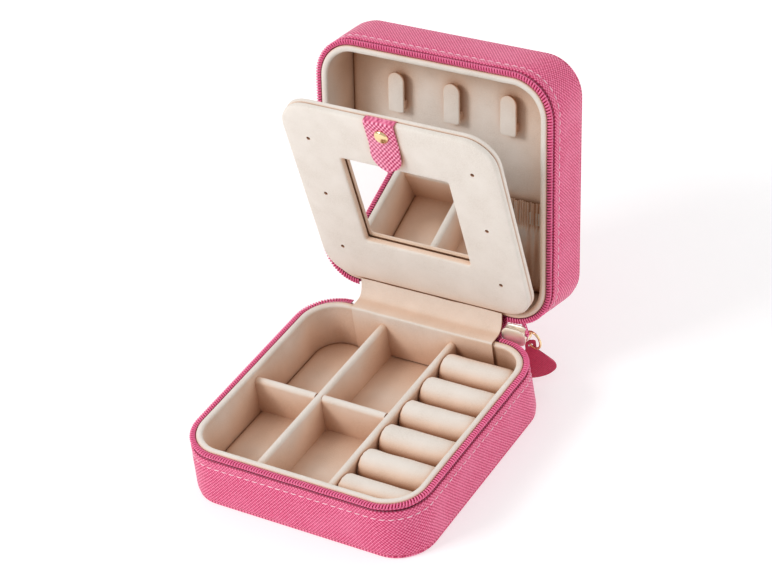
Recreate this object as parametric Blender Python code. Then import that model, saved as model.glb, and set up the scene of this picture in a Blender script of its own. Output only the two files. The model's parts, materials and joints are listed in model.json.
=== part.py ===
"""Travel jewelry case: a square zipped box made of two leather-covered trays.

The lower tray holds three compartments and a row of ring rolls. The upper tray is the lid. It
carries necklace hooks, an elastic pocket and a hinged mirror panel. Metres, +Z up, front at -Y.
The origin is the middle of the underside.
"""

import math

import bmesh
import bpy
from mathutils import Matrix, Vector

# ---------------------------------------------------------------- driving dimensions
CASE_SIDE = 0.100            # outside width and depth
CASE_HEIGHT = 0.050          # closed height, the two trays together
RIM_RADIUS = 0.0165          # plan radius of the corners at the rim
FOOT_RADIUS = 0.0147         # and at the foot
ARC_STEPS = 8                # straight pieces in each plan corner
GAP = 0.0003                 # clearance between pieces that touch

WALL_TOP = 0.021             # top of the leather wall
LEATHER = 0.0012
BOARD = 0.0018
WALL_BOARD_TOP = 0.0207
FOOT_PANEL_TOP = 0.0015
BOARD_FLOOR = 0.0018         # underside of the bottom board
PAD_FLOOR = 0.0039           # underside of the velvet floor pad
FLOOR = 0.0055               # velvet floor inside a tray
INNER_INSET = 0.0049         # inner wall's distance from the outside
LINER_TOP = 0.0242
COIL_TOP = 0.0240

LID_HINGE_Y = 0.0531
LID_HINGE_Z = 0.0250
LID_OPEN = 101.5             # degrees from closed, at rest
PANEL_HINGE_Y = 0.0452       # in the closed case
PANEL_HINGE_Z = 0.0274
PANEL_LEAN = 21.5            # degrees off the lid's plane, at rest

DIVIDER = 0.0032
DIVIDER_TOP = 0.0207
DIVIDER_FRONT = -0.0448
DIVIDER_BACK = 0.0440
LONG_DIVIDER_X = -0.0174
RING_DIVIDER_X = 0.0129
CROSS_DIVIDER_Y = -0.00155
CROSS_DIVIDER_TOP = 0.0205

ROLL_COUNT = 6
ROLL_RADIUS = 0.0059
ROLL_PITCH = 0.0146
FIRST_ROLL_Y = -0.0378
ROLL_AXIS_Z = 0.01495

FLAP_LEFT = -0.0310
FLAP_RIGHT = 0.0305
SPINE_LEFT = -0.0302
SPINE_RIGHT = 0.0309

PANEL_HALF_WIDTH = 0.0448
PANEL_NEAR = 0.0016          # panel's lower edge, measured from its hinge
PANEL_FAR = 0.0894
PANEL_RADIUS = 0.0120
PANEL_THICKNESS = 0.0040
FRONT_BOARD = 0.0018
WINDOW_HALF_WIDTH = 0.0225
WINDOW_NEAR = 0.0243
WINDOW_FAR = 0.0663
HOLE_X = 0.0343
HOLE_RADIUS = 0.00075
HOLE_ROWS = (0.0179, 0.0458, 0.0736)
MIRROR_MARGIN = 0.0010       # hidden border of the mirror behind the window
TAB_SLOT = 0.0024            # the frame stops short of the free edge to take the tab's end
TAB_THICKNESS = 0.0008
TAB_FOLD_THICKNESS = 0.0004  # squeezed thin where it turns over the board's edge
TAB_FOLD_GAP = 0.0002
TAB_HALF_WIDTH = 0.0063
TAB_END = 0.0749             # centre of the tab's round end, measured from the hinge
TAB_LIFT = 0.0010            # how far the tab stands off there, and then at its very tip
TAB_TIP_LIFT = 0.0032
RIVET_AWAY = 0.0839

HOOK_X = 0.0240
HOOK_WIDTH = 0.0068
HOOK_TIP_Y = -0.0340
HOOK_FOOT_Y = -0.0200
HOOK_FRONT_Z = 0.0405        # in the closed case
HOOK_THICKNESS = 0.0013

POCKET_MOUTH_Y = 0.0075
POCKET_FRONT_Z = 0.0412      # in the closed case
POCKET_CLOTH = 0.0008

SLIDER_NOSE_X = 0.0413
SLIDER_LENGTH = 0.0100
SLIDER_WIDTH = 0.0080
SLIDER_INNER_Y = 0.0505
SLIDER_OUTER_Y = 0.0545
RING_CENTRE = Vector((0.0420, 0.0552, 0.0221))
RING_RADIUS = 0.0036
RING_WIRE = 0.0004
RING_YAW = -15.0
PULL_HOLE = Vector((0.0403, 0.0557, 0.0190))
PULL_YAW = 30.0
PULL_THICKNESS = 0.0009
TAPE_LEAVES_RIM = 38.0       # angle round the last corner where the zip leaves the rim

# the corners in the order in which the zip passes them: sign of x, sign of y, first angle
CORNERS = ((-1, 1, 90), (-1, -1, 180), (1, -1, 270), (1, 1, 0))


# ---------------------------------------------------------------- scene and materials
def clear_scene():
    """Remove every object that the file starts with."""
    for old in list(bpy.data.objects):
        bpy.data.objects.remove(old, do_unlink=True)


def make_material(name, colour, roughness, metallic=0.0):
    """Principled material with the given colour, roughness and metallic value."""
    material = bpy.data.materials.new(name)
    material.use_nodes = True
    shader = material.node_tree.nodes["Principled BSDF"]
    shader.inputs["Base Color"].default_value = (*colour, 1.0)
    shader.inputs["Roughness"].default_value = roughness
    shader.inputs["Metallic"].default_value = metallic
    return material


clear_scene()

SAFFIANO = make_material("pink_saffiano_leather", (0.73, 0.13, 0.24), 0.45)
DARK_LEATHER = make_material("raspberry_leather", (0.42, 0.03, 0.09), 0.5)
ZIP_CLOTH = make_material("pink_zip_tape", (0.80, 0.10, 0.24), 0.7)
COIL = make_material("pink_zip_coil", (0.86, 0.18, 0.32), 0.35)
VELVET = make_material("cream_velvet", (0.78, 0.71, 0.62), 0.95)
BOARD_GREY = make_material("grey_board", (0.35, 0.33, 0.30), 0.9)
SILVERED_GLASS = make_material("mirror_glass", (0.9, 0.9, 0.9), 0.03, 1.0)
GOLD = make_material("gold_plated_zinc", (0.87, 0.66, 0.36), 0.15, 1.0)
ELASTIC = make_material("cream_elastic", (0.75, 0.68, 0.58), 0.85)


def make_axis(name, location, rotation_x, parent=None):
    """Empty on a hinge axis that runs along X; the pieces it carries are parented to it."""
    axis = bpy.data.objects.new(name, None)
    bpy.context.collection.objects.link(axis)
    axis.parent = parent
    axis.location = location
    axis.rotation_euler = (math.radians(rotation_x), 0.0, 0.0)
    return axis


LID_AXIS = make_axis("lid_hinge_axis", (0.0, LID_HINGE_Y, LID_HINGE_Z), -LID_OPEN)
PANEL_AXIS = make_axis(
    "panel_hinge_axis",
    (0.0, PANEL_HINGE_Y - LID_HINGE_Y, PANEL_HINGE_Z - LID_HINGE_Z),
    PANEL_LEAN,
    parent=LID_AXIS,
)

TO_LID = Matrix.Translation((0.0, -LID_HINGE_Y, -LID_HINGE_Z))
TURN_OVER = Matrix.Translation((0.0, 0.0, CASE_HEIGHT)) @ Matrix.Scale(-1.0, 4, (0.0, 0.0, 1.0))


def add_part(name, shape, material, parent=None, sharp_angle=35.0, origin=None):
    """Turn a bmesh into the named object, faces outwards, round stretches shaded smooth."""
    if origin is not None:
        bmesh.ops.translate(shape, verts=shape.verts, vec=-origin)
    bmesh.ops.recalc_face_normals(shape, faces=shape.faces)
    if shape.calc_volume(signed=True) < 0.0:
        bmesh.ops.reverse_faces(shape, faces=shape.faces)
    mesh = bpy.data.meshes.new(name)
    shape.to_mesh(mesh)
    shape.free()
    mesh.materials.append(material)
    mesh.shade_smooth()
    mesh.set_sharp_from_angle(angle=math.radians(sharp_angle))
    part = bpy.data.objects.new(name, mesh)
    bpy.context.collection.objects.link(part)
    part.parent = parent
    if origin is not None:
        part.location = origin
    return part


def add_tray_part(name, shape, material, in_lid):
    """Place a tray piece in the base, or turned over and carried by the lid's hinge."""
    if in_lid:
        shape.transform(TO_LID @ TURN_OVER)
        return add_part("lid_" + name, shape, material, parent=LID_AXIS)
    return add_part("base_" + name, shape, material)


# ---------------------------------------------------------------- shape helpers
def plan_point(station, inset, z):
    """Point of the rounded square plan at a station (sign x, sign y, angle), set in from it."""
    sign_x, sign_y, angle = station
    share = min(max(z / WALL_TOP, 0.0), 1.0)
    radius = FOOT_RADIUS + (RIM_RADIUS - FOOT_RADIUS) * share
    centre = CASE_SIDE / 2 - radius
    reach = radius - inset
    x = sign_x * centre + reach * math.cos(angle)
    y = sign_y * centre + reach * math.sin(angle)
    return Vector((x, y, z))


def corner_stations(corner, first=0.0, last=90.0, steps=ARC_STEPS):
    """Stations round one corner, between two angles measured from the corner's first one."""
    sign_x, sign_y, start = corner
    turns = [first + (last - first) * step / steps for step in range(steps + 1)]
    return [(sign_x, sign_y, math.radians(start + turn)) for turn in turns]


def whole_plan():
    """Stations all the way round the case."""
    return [station for corner in CORNERS for station in corner_stations(corner)]


def zip_run():
    """Stations along the zip, from the rear left corner round the front to the rear right one."""
    stations = [station for corner in CORNERS[:3] for station in corner_stations(corner)]
    return stations + corner_stations(CORNERS[3], 0.0, TAPE_LEAVES_RIM, 4)


def join_loops(shape, loops, around):
    """Faces between neighbouring loops of vertices; around joins each loop's ends too."""
    for first, second in zip(loops, loops[1:]):
        count = len(first)
        for index in range(count if around else count - 1):
            following = (index + 1) % count
            shape.faces.new((first[index], first[following], second[following], second[index]))


def sweep(sections, closed):
    """Solid through a list of equal sections; closed joins the last section to the first."""
    shape = bmesh.new()
    loops = [[shape.verts.new(point) for point in section] for section in sections]
    join_loops(shape, loops + loops[:1] if closed else loops, around=True)
    if not closed:
        shape.faces.new(loops[0])
        shape.faces.new(loops[-1])
    return shape


def band(profile, stations, closed):
    """Sweep a closed (inset, z) profile along stations of the plan."""
    sections = [[plan_point(station, inset, z) for inset, z in profile] for station in stations]
    return sweep(sections, closed)


def plate(inset, low, high, edge):
    """Flat plate of the case's plan with small bevelled edges."""
    rings = ((inset + edge, low), (inset, low + edge), (inset, high - edge), (inset + edge, high))
    sections = [[plan_point(station, ring_inset, z) for station in whole_plan()]
                for ring_inset, z in rings]
    return sweep(sections, closed=False)


def arc(centre, radius, first, last, steps):
    """Points of an arc in a plane, angles in degrees."""
    points = []
    for step in range(steps + 1):
        angle = math.radians(first + (last - first) * step / steps)
        points.append((centre[0] + radius * math.cos(angle), centre[1] + radius * math.sin(angle)))
    return points


def rounded_outline(left, right, low, high, radius, steps=6):
    """Outline of a rectangle with round corners, anticlockwise."""
    points = arc((right - radius, high - radius), radius, 0, 90, steps)
    points += arc((left + radius, high - radius), radius, 90, 180, steps)
    points += arc((left + radius, low + radius), radius, 180, 270, steps)
    points += arc((right - radius, low + radius), radius, 270, 360, steps)
    return points


def pierced_plate(outline, holes, thickness, place):
    """Plate with holes, filled from its outlines and extruded; place maps (u, v, w) to space."""
    shape = bmesh.new()
    edges = []
    for loop in [outline] + holes:
        verts = [shape.verts.new((u, v, 0.0)) for u, v in loop]
        edges += [shape.edges.new((verts[i - 1], verts[i])) for i in range(len(verts))]
    bmesh.ops.triangle_fill(shape, use_beauty=True, edges=edges)
    top = bmesh.ops.extrude_face_region(shape, geom=list(shape.faces))
    raised = [item for item in top["geom"] if isinstance(item, bmesh.types.BMVert)]
    bmesh.ops.translate(shape, verts=raised, vec=(0.0, 0.0, thickness))
    for vert in shape.verts:
        vert.co = place(*vert.co)
    return shape


def prism_along_x(profile, left, right):
    """Solid with a closed (y, z) profile between two x positions."""
    sections = [[Vector((x, y, z)) for y, z in profile] for x in (left, right)]
    return sweep(sections, closed=False)


def bezier(start, start_pull, end_pull, end, steps):
    """Points of a cubic curve in the (y, z) plane."""
    points = []
    for step in range(steps + 1):
        t = step / steps
        weights = ((1 - t) ** 3, 3 * t * (1 - t) ** 2, 3 * t * t * (1 - t), t ** 3)
        corners = (start, start_pull, end_pull, end)
        points.append(tuple(sum(w * c[axis] for w, c in zip(weights, corners)) for axis in (0, 1)))
    return points


def sheet_profile(path, thickness):
    """Closed outline of a sheet of even thickness along an open (y, z) path."""
    sides = ([], [])
    for index, point in enumerate(path):
        before = path[max(index - 1, 0)]
        after = path[min(index + 1, len(path) - 1)]
        along = Vector((after[0] - before[0], after[1] - before[1])).normalized()
        across = Vector((-along.y, along.x)) * thickness / 2
        sides[0].append((point[0] + across.x, point[1] + across.y))
        sides[1].append((point[0] - across.x, point[1] - across.y))
    return sides[0] + sides[1][::-1]


# ---------------------------------------------------------------- tray shells, base and lid
def add_outer_wall(in_lid):
    """Leather wall with a rounded foot and a turned top edge."""
    profile = [(LEATHER, GAP), (0.0007, GAP), (0.0002, 0.0007), (0.0, 0.0013)]
    profile += [(0.0, WALL_TOP - 0.0003), (0.0003, WALL_TOP), (LEATHER, WALL_TOP)]
    add_tray_part("outer_wall", band(profile, whole_plan(), True), SAFFIANO, in_lid)


def add_foot_panel(in_lid):
    """Leather panel that closes the tray's outside and carries the case when it stands."""
    panel = plate(LEATHER + GAP, 0.0, FOOT_PANEL_TOP, 0.0002)
    add_tray_part("top_panel" if in_lid else "bottom_panel", panel, SAFFIANO, in_lid)


def add_boards(in_lid):
    """Stiffening boards between the leather and the velvet: a frame and a flat board."""
    outer = LEATHER + GAP
    profile = [(outer, PAD_FLOOR), (outer, WALL_BOARD_TOP)]
    profile += [(outer + BOARD, WALL_BOARD_TOP), (outer + BOARD, PAD_FLOOR)]
    add_tray_part("wall_board", band(profile, whole_plan(), True), BOARD_GREY, in_lid)
    flat = plate(outer, BOARD_FLOOR, PAD_FLOOR - GAP, 0.0001)
    add_tray_part("top_board" if in_lid else "bottom_board", flat, BOARD_GREY, in_lid)


def add_zip_half(in_lid):
    """Zip tape that comes out over the leather, and the coil that it carries."""
    low = WALL_TOP + GAP
    tape = [(0.0001, low), (0.0001, low + 0.0014), (0.0019, low + 0.0014)]
    tape += [(0.0019, low + 0.0006), (0.0033, low + 0.0006), (0.0033, low)]
    add_tray_part("zip_tape", band(tape, zip_run(), False), ZIP_CLOTH, in_lid)
    coil_low = low + 0.0014 + GAP
    coil = [(0.0001, coil_low + 0.0003), (0.0001, COIL_TOP - 0.0003), (0.0004, COIL_TOP)]
    coil += [(0.0017, COIL_TOP), (0.0020, COIL_TOP - 0.0003), (0.0020, coil_low + 0.0003)]
    coil += [(0.0017, coil_low), (0.0004, coil_low)]
    add_tray_part("zip_coil", band(coil, zip_run(), False), COIL, in_lid)


def add_liner(in_lid):
    """Velvet-covered inner wall with its rolled rim, and the pad on the tray's floor."""
    outer = 0.00365
    inner = INNER_INSET - GAP
    rim_low = 0.0222
    rim_out = 0.0023
    profile = [(outer, PAD_FLOOR), (outer, rim_low), (rim_out, rim_low), (rim_out, 0.0234)]
    profile += [(0.0027, 0.0240), (0.0033, LINER_TOP), (0.0042, LINER_TOP), (0.0047, 0.0239)]
    profile += [(INNER_INSET, 0.0233), (INNER_INSET, 0.0224), (inner, 0.0220), (inner, PAD_FLOOR)]
    add_tray_part("liner_wall", band(profile, whole_plan(), True), VELVET, in_lid)
    pad = plate(INNER_INSET, PAD_FLOOR, FLOOR, 0.0003)
    add_tray_part("back_pad" if in_lid else "floor_pad", pad, VELVET, in_lid)


for lid_side in (False, True):
    add_outer_wall(lid_side)
    add_foot_panel(lid_side)
    add_boards(lid_side)
    add_zip_half(lid_side)
    add_liner(lid_side)


# ---------------------------------------------------------------- lower tray's fittings
def rounded_top_profile(half, low, high):
    """Upright outline of a divider with a rounded top, as (across, z) points."""
    radius = 0.0013
    points = arc((half - radius, high - radius), radius, 0, 90, 3)
    points += arc((radius - half, high - radius), radius, 90, 180, 3)
    return points + [(-half, low), (half, low)]


def add_divider(name, middle, start, end, top, along_y):
    """Velvet-covered divider board that stands on the floor pad."""
    profile = rounded_top_profile(DIVIDER / 2, FLOOR + GAP, top)
    sections = []
    for distance in (start, end):
        if along_y:
            sections.append([Vector((middle + across, distance, z)) for across, z in profile])
        else:
            sections.append([Vector((distance, middle + across, z)) for across, z in profile])
    add_part(name, sweep(sections, closed=False), VELVET)


def add_dividers():
    """Two dividers from front to back, and two short ones across."""
    half = DIVIDER / 2
    inner_wall = CASE_SIDE / 2 - INNER_INSET
    for name, x in (("long_divider", LONG_DIVIDER_X), ("ring_divider", RING_DIVIDER_X)):
        add_divider(name, x, DIVIDER_FRONT, DIVIDER_BACK, DIVIDER_TOP, along_y=True)
    spans = {
        "cross_divider_left": (-inner_wall, LONG_DIVIDER_X - half - GAP),
        "cross_divider_centre": (LONG_DIVIDER_X + half + GAP, RING_DIVIDER_X - half - GAP),
    }
    for name, (left, right) in spans.items():
        add_divider(name, CROSS_DIVIDER_Y, left, right, CROSS_DIVIDER_TOP, along_y=False)


def inner_wall_x(y):
    """Where the inner wall is on the right-hand side, at a distance from front to back."""
    centre = CASE_SIDE / 2 - RIM_RADIUS
    radius = RIM_RADIUS - INNER_INSET - GAP
    beyond = max(abs(y) - centre, 0.0)
    return centre + math.sqrt(radius ** 2 - beyond ** 2)


def add_ring_roll(number, centre_y):
    """Padded roll with a round top and straight sides, from the ring divider to the wall."""
    shape = bmesh.new()
    left = RING_DIVIDER_X + DIVIDER / 2 + GAP
    steps = 10
    loops = {side: ([], []) for side in ("left", "right")}
    for step in range(steps + 1):
        angle = math.pi - math.pi * step / steps
        y = centre_y + ROLL_RADIUS * math.cos(angle)
        top = ROLL_AXIS_Z + ROLL_RADIUS * math.sin(angle)
        for side, x in (("left", left), ("right", inner_wall_x(y))):
            loops[side][0].append(shape.verts.new((x, y, FLOOR + GAP)))
            loops[side][1].append(shape.verts.new((x, y, top)))
    for side in ("left", "right"):
        join_loops(shape, loops[side], around=False)
    for height in (0, 1):
        join_loops(shape, [loops["left"][height], loops["right"][height]], around=False)
    for end in (0, -1):
        shape.faces.new([loops[side][height][end]
                         for side, height in (("left", 0), ("left", 1), ("right", 1), ("right", 0))])
    add_part("ring_roll_%d" % number, shape, VELVET)


add_dividers()
for roll in range(ROLL_COUNT):
    add_ring_roll(roll + 1, FIRST_ROLL_Y + roll * ROLL_PITCH)


# ---------------------------------------------------------------- spine and velvet flap
def at_rest(y, z):
    """Where a (y, z) point of the closed lid is while the lid stands open."""
    angle = math.radians(LID_OPEN)
    beyond = y - LID_HINGE_Y
    above = z - LID_HINGE_Z
    open_y = LID_HINGE_Y + beyond * math.cos(angle) + above * math.sin(angle)
    open_z = LID_HINGE_Z - beyond * math.sin(angle) + above * math.cos(angle)
    return (open_y, open_z)


def add_spine():
    """Leather strip that joins the two trays behind, glued over both rear walls."""
    thickness = 0.0008
    middle = CASE_SIDE / 2 + GAP + thickness / 2
    on_base = (middle, 0.0215)
    on_lid = at_rest(middle, 0.0290)
    along_lid = at_rest(middle, 0.0275)
    bend = bezier(on_base, (middle, 0.0240), along_lid, on_lid, 10)
    path = [(middle, 0.0130)] + bend + [at_rest(middle, 0.0370)]
    add_part("spine_leather", prism_along_x(sheet_profile(path, thickness), SPINE_LEFT, SPINE_RIGHT),
             SAFFIANO)


def add_flap():
    """Velvet strip that lines the rear wall, crosses the rim and carries the mirror panel."""
    thickness = 0.0005
    front = 0.04455
    rim_top = LINER_TOP + GAP + thickness / 2
    path = [(front, FLOOR + GAP), (front, 0.0148), (front, 0.0236)]
    path += bezier((front, 0.0240), (front, rim_top), (front, rim_top), (0.0456, rim_top), 4)
    path += bezier((0.0495, rim_top + 0.0002), (0.0518, rim_top + 0.0004), (0.0533, 0.0266),
                   (0.0540, 0.0318), 8)
    add_part("velvet_flap", prism_along_x(sheet_profile(path, thickness), FLAP_LEFT, FLAP_RIGHT),
             VELVET)


add_spine()
add_flap()


# ---------------------------------------------------------------- lid's fittings
def add_hook(number, x):
    """Necklace hook: a flat tongue with a round tip, on a foot fixed to the back pad."""
    pad_face = CASE_HEIGHT - FLOOR - GAP
    back = HOOK_FRONT_Z + HOOK_THICKNESS
    foot_front = HOOK_FOOT_Y - 0.0016
    profile = [(HOOK_TIP_Y, HOOK_FRONT_Z), (HOOK_FOOT_Y - 0.0005, HOOK_FRONT_Z)]
    profile += [(HOOK_FOOT_Y, HOOK_FRONT_Z + 0.0005), (HOOK_FOOT_Y, pad_face)]
    profile += [(foot_front, pad_face), (foot_front, back), (HOOK_TIP_Y, back)]
    shape = prism_along_x(profile, x - HOOK_WIDTH / 2, x + HOOK_WIDTH / 2)
    tip_edges = [edge for edge in shape.edges
                 if all(abs(vert.co.y - HOOK_TIP_Y) < 1e-6 for vert in edge.verts)
                 and abs(edge.verts[0].co.x - edge.verts[1].co.x) < 1e-6]
    bmesh.ops.bevel(shape, geom=tip_edges, offset=HOOK_WIDTH * 0.47, segments=5, profile=0.5,
                    affect="EDGES")
    shape.transform(TO_LID)
    add_part("hook_%d" % number, shape, VELVET, parent=LID_AXIS)


def pocket_path(inset):
    """Points round the pocket's three fixed sides, from its mouth on the left to the right."""
    left_corner = corner_stations(CORNERS[0])
    right_corner = corner_stations(CORNERS[3])
    round_back = [plan_point(station, inset, WALL_TOP) for station in
                  right_corner + left_corner]
    side = CASE_SIDE / 2 - inset
    points = [(side, POCKET_MOUTH_Y)] + [(point.x, point.y) for point in round_back]
    return points + [(-side, POCKET_MOUTH_Y)]


def add_pocket():
    """Shallow cloth pocket on the back pad, open towards the hooks."""
    shape = bmesh.new()
    pad_face = CASE_HEIGHT - FLOOR - GAP
    rear_inset = INNER_INSET + GAP
    levels = ((rear_inset, POCKET_FRONT_Z), (rear_inset, pad_face),
              (rear_inset + POCKET_CLOTH, pad_face),
              (rear_inset + POCKET_CLOTH, POCKET_FRONT_Z + POCKET_CLOTH))
    loops = [[shape.verts.new((x, y, z)) for x, y in pocket_path(inset)] for inset, z in levels]
    join_loops(shape, loops, around=False)
    shape.faces.new(loops[0])
    shape.faces.new(loops[-1])
    mouth = [loop[0] for loop in loops] + [loop[-1] for loop in reversed(loops)]
    shape.faces.new(mouth)
    shape.transform(TO_LID)
    add_part("pocket", shape, VELVET, parent=LID_AXIS)


def add_pocket_elastic():
    """Elastic band behind the pocket's hem."""
    half_width = 0.0436
    low = POCKET_FRONT_Z + POCKET_CLOTH + GAP
    profile = [(0.0113, low), (0.0162, low), (0.0162, low + 0.0006), (0.0113, low + 0.0006)]
    shape = prism_along_x(profile, -half_width, half_width)
    shape.transform(TO_LID)
    add_part("pocket_elastic", shape, ELASTIC, parent=LID_AXIS)


def add_zip_tail():
    """Free end of the lid's zip half, from where it leaves the rim down to the slider."""
    angle = math.radians(TAPE_LEAVES_RIM)
    along = Vector((-math.sin(angle), math.cos(angle), 0.0))
    outward = Vector((math.cos(angle), math.sin(angle), 0.0))
    start = plan_point((1, 1, angle), 0.0010, WALL_TOP)
    start_y, start_z = at_rest(start.y + along.y * 0.0006, CASE_HEIGHT - 0.0226)
    corner = Vector((start.x + along.x * 0.0006, start_y, start_z))
    nose = Vector((SLIDER_NOSE_X + 0.0006, 0.0524, 0.0266))
    middle = corner.lerp(nose, 0.5) + Vector((0.0004, 0.0, -0.0009))
    half_width = Vector((outward.x, 0.0, 0.0)).normalized() * 0.0008
    half_depth = Vector((0.0, 0.0005, 0.0010))
    sections = []
    for centre, size in ((corner, 1.0), (middle, 1.0), (nose, 0.9)):
        sections.append([centre + (half_width * a + half_depth * b) * size
                         for a, b in ((-1, -1), (1, -1), (1, 1), (-1, 1))])
    add_part("lid_zip_tail", sweep(sections, closed=False), ZIP_CLOTH)


for hook_number, hook_side in enumerate((-1, 0, 1)):
    add_hook(hook_number + 1, hook_side * HOOK_X)
add_pocket()
add_pocket_elastic()
add_zip_tail()


# ---------------------------------------------------------------- mirror panel
# Built lying in the closed case: x across, -y away from the hinge, -z towards the lower tray.
def on_panel(level):
    """Placement of a panel layer whose upper face is at a level, as pierced_plate needs it."""
    def place(across, away, depth):
        return Vector((across, -away, level - depth))
    return place


def add_panel_layer(name, outline, holes, level, thickness, material):
    """Flat layer of the mirror panel, carried by the panel's hinge."""
    shape = pierced_plate(outline, holes, thickness, on_panel(level))
    add_part(name, shape, material, parent=PANEL_AXIS)


def add_mirror_panel():
    """Velvet-covered front board with its window, the mirror, and the rear board behind."""
    outline = rounded_outline(-PANEL_HALF_WIDTH, PANEL_HALF_WIDTH, PANEL_NEAR, PANEL_FAR,
                              PANEL_RADIUS)
    window = rounded_outline(-WINDOW_HALF_WIDTH, WINDOW_HALF_WIDTH, WINDOW_NEAR, WINDOW_FAR,
                             0.0004, 1)
    holes = [arc((side * HOLE_X, row), HOLE_RADIUS, 0, 315, 7)
             for side in (-1, 1) for row in HOLE_ROWS]
    front_level = FRONT_BOARD - PANEL_THICKNESS
    add_panel_layer("panel_front", outline, [window] + holes, front_level, FRONT_BOARD, VELVET)

    glass_edges = (-WINDOW_HALF_WIDTH - MIRROR_MARGIN, WINDOW_HALF_WIDTH + MIRROR_MARGIN,
                   WINDOW_NEAR - MIRROR_MARGIN, WINDOW_FAR + MIRROR_MARGIN)
    glass = rounded_outline(*glass_edges, 0.0005, 1)
    glass_front = front_level + GAP
    glass_thickness = 0.0010
    add_panel_layer("mirror", glass, [], glass_front + glass_thickness, glass_thickness,
                    SILVERED_GLASS)

    nest = rounded_outline(glass_edges[0] - GAP, glass_edges[1] + GAP, glass_edges[2] - GAP,
                           glass_edges[3] + GAP, 0.0005, 1)
    frame_depth = glass_thickness + GAP
    core = rounded_outline(-PANEL_HALF_WIDTH, PANEL_HALF_WIDTH, PANEL_NEAR,
                           PANEL_FAR - TAB_SLOT, PANEL_RADIUS)
    add_panel_layer("mirror_frame", core, [nest], glass_front + frame_depth, frame_depth,
                    BOARD_GREY)
    back_thickness = -(glass_front + frame_depth + GAP)
    add_panel_layer("panel_back", outline, [], 0.0, back_thickness, VELVET)


def add_pull_tab():
    """Leather tab tucked behind the front board's free edge, with a round end that stands off."""
    tucked = -PANEL_THICKNESS + FRONT_BOARD + GAP
    front = -PANEL_THICKNESS - GAP
    fold = PANEL_FAR + TAB_FOLD_GAP
    stations = [(fold - TAB_SLOT + GAP, tucked, TAB_HALF_WIDTH), (fold, tucked, TAB_HALF_WIDTH)]
    stations += [(fold, front, TAB_HALF_WIDTH), (0.0820, front, TAB_HALF_WIDTH)]
    stations += [(TAB_END, front - TAB_LIFT, TAB_HALF_WIDTH)]
    steps = 6
    for step in range(1, steps + 1):
        angle = math.pi / 2 * step / (steps + 0.5)
        lift = TAB_LIFT + (TAB_TIP_LIFT - TAB_LIFT) * (step / steps) ** 2
        stations.append((TAB_END - TAB_HALF_WIDTH * math.sin(angle), front - lift,
                         TAB_HALF_WIDTH * math.cos(angle)))
    shape = bmesh.new()
    inner = []
    outer = []
    for index, (away, level, half) in enumerate(stations):
        outer_away = away + (TAB_FOLD_THICKNESS if away >= fold else 0.0)
        outer_level = level + TAB_THICKNESS if index < 2 else level - TAB_THICKNESS
        inner.append([shape.verts.new((x, -away, level)) for x in (-half, half)])
        outer.append([shape.verts.new((x, -outer_away, outer_level)) for x in (-half, half)])
    loops = [[low[0], low[1], high[1], high[0]] for low, high in zip(inner, outer)]
    join_loops(shape, loops, around=True)
    shape.faces.new(loops[0])
    shape.faces.new(loops[-1])
    add_part("pull_tab", shape, SAFFIANO, parent=PANEL_AXIS)


def turned(profile, steps):
    """Solid of revolution about Z from (radius, z) points whose first and last are off the axis."""
    sections = []
    for step in range(steps):
        angle = 2 * math.pi * step / steps
        sections.append([Vector((r * math.cos(angle), r * math.sin(angle), z)) for r, z in profile])
    shape = bmesh.new()
    loops = [[shape.verts.new(point) for point in section] for section in sections]
    join_loops(shape, loops + loops[:1], around=False)
    shape.faces.new([loop[0] for loop in loops])
    shape.faces.new([loop[-1] for loop in loops])
    return shape


def add_rivet():
    """Domed cap in front of the tab and a flat washer behind the panel."""
    face = -PANEL_THICKNESS - TAB_THICKNESS - 2 * GAP
    dome = [(0.0025, face), (0.0025, face - 0.0003), (0.0021, face - 0.0008),
            (0.0013, face - 0.0012), (0.0004, face - 0.0013)]
    cap = turned(dome, 20)
    bmesh.ops.translate(cap, verts=cap.verts, vec=(0.0, -RIVET_AWAY, 0.0))
    add_part("rivet_cap", cap, GOLD, parent=PANEL_AXIS)
    back = GAP
    washer = turned([(0.0024, back), (0.0024, back + 0.0004), (0.0019, back + 0.0006)], 20)
    bmesh.ops.translate(washer, verts=washer.verts, vec=(0.0, -RIVET_AWAY, 0.0))
    add_part("rivet_washer", washer, GOLD, parent=PANEL_AXIS)


add_mirror_panel()
add_pull_tab()
add_rivet()


# ---------------------------------------------------------------- zip slider, ring and pull
def round_plate_corners(shape, offset, height_limit):
    """Round the slider plates' corners: the edges along Y far above and below the middle."""
    edges = [edge for edge in shape.edges
             if abs(edge.verts[0].co.x - edge.verts[1].co.x) < 1e-6
             and abs(edge.verts[0].co.z - edge.verts[1].co.z) < 1e-6
             and abs(edge.verts[0].co.z - LID_HINGE_Z) > height_limit]
    bmesh.ops.bevel(shape, geom=edges, offset=offset, segments=3, profile=0.5, affect="EDGES")


def add_slider():
    """Slider body: two plates joined by a post, with the two zip halves between them."""
    half = SLIDER_WIDTH / 2
    post = 0.0012
    plates = (SLIDER_INNER_Y, SLIDER_INNER_Y + 0.0009, SLIDER_OUTER_Y - 0.0012, SLIDER_OUTER_Y)
    outline = [(plates[0], -half), (plates[0], half), (plates[1], half), (plates[1], post)]
    outline += [(plates[2], post), (plates[2], half), (plates[3], half), (plates[3], -half)]
    outline += [(plates[2], -half), (plates[2], -post), (plates[1], -post), (plates[1], -half)]
    profile = [(y, LID_HINGE_Z + z) for y, z in outline]
    shape = prism_along_x(profile, SLIDER_NOSE_X - SLIDER_LENGTH, SLIDER_NOSE_X)
    round_plate_corners(shape, 0.0024, half * 0.9)
    add_part("slider_body", shape, GOLD)


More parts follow.
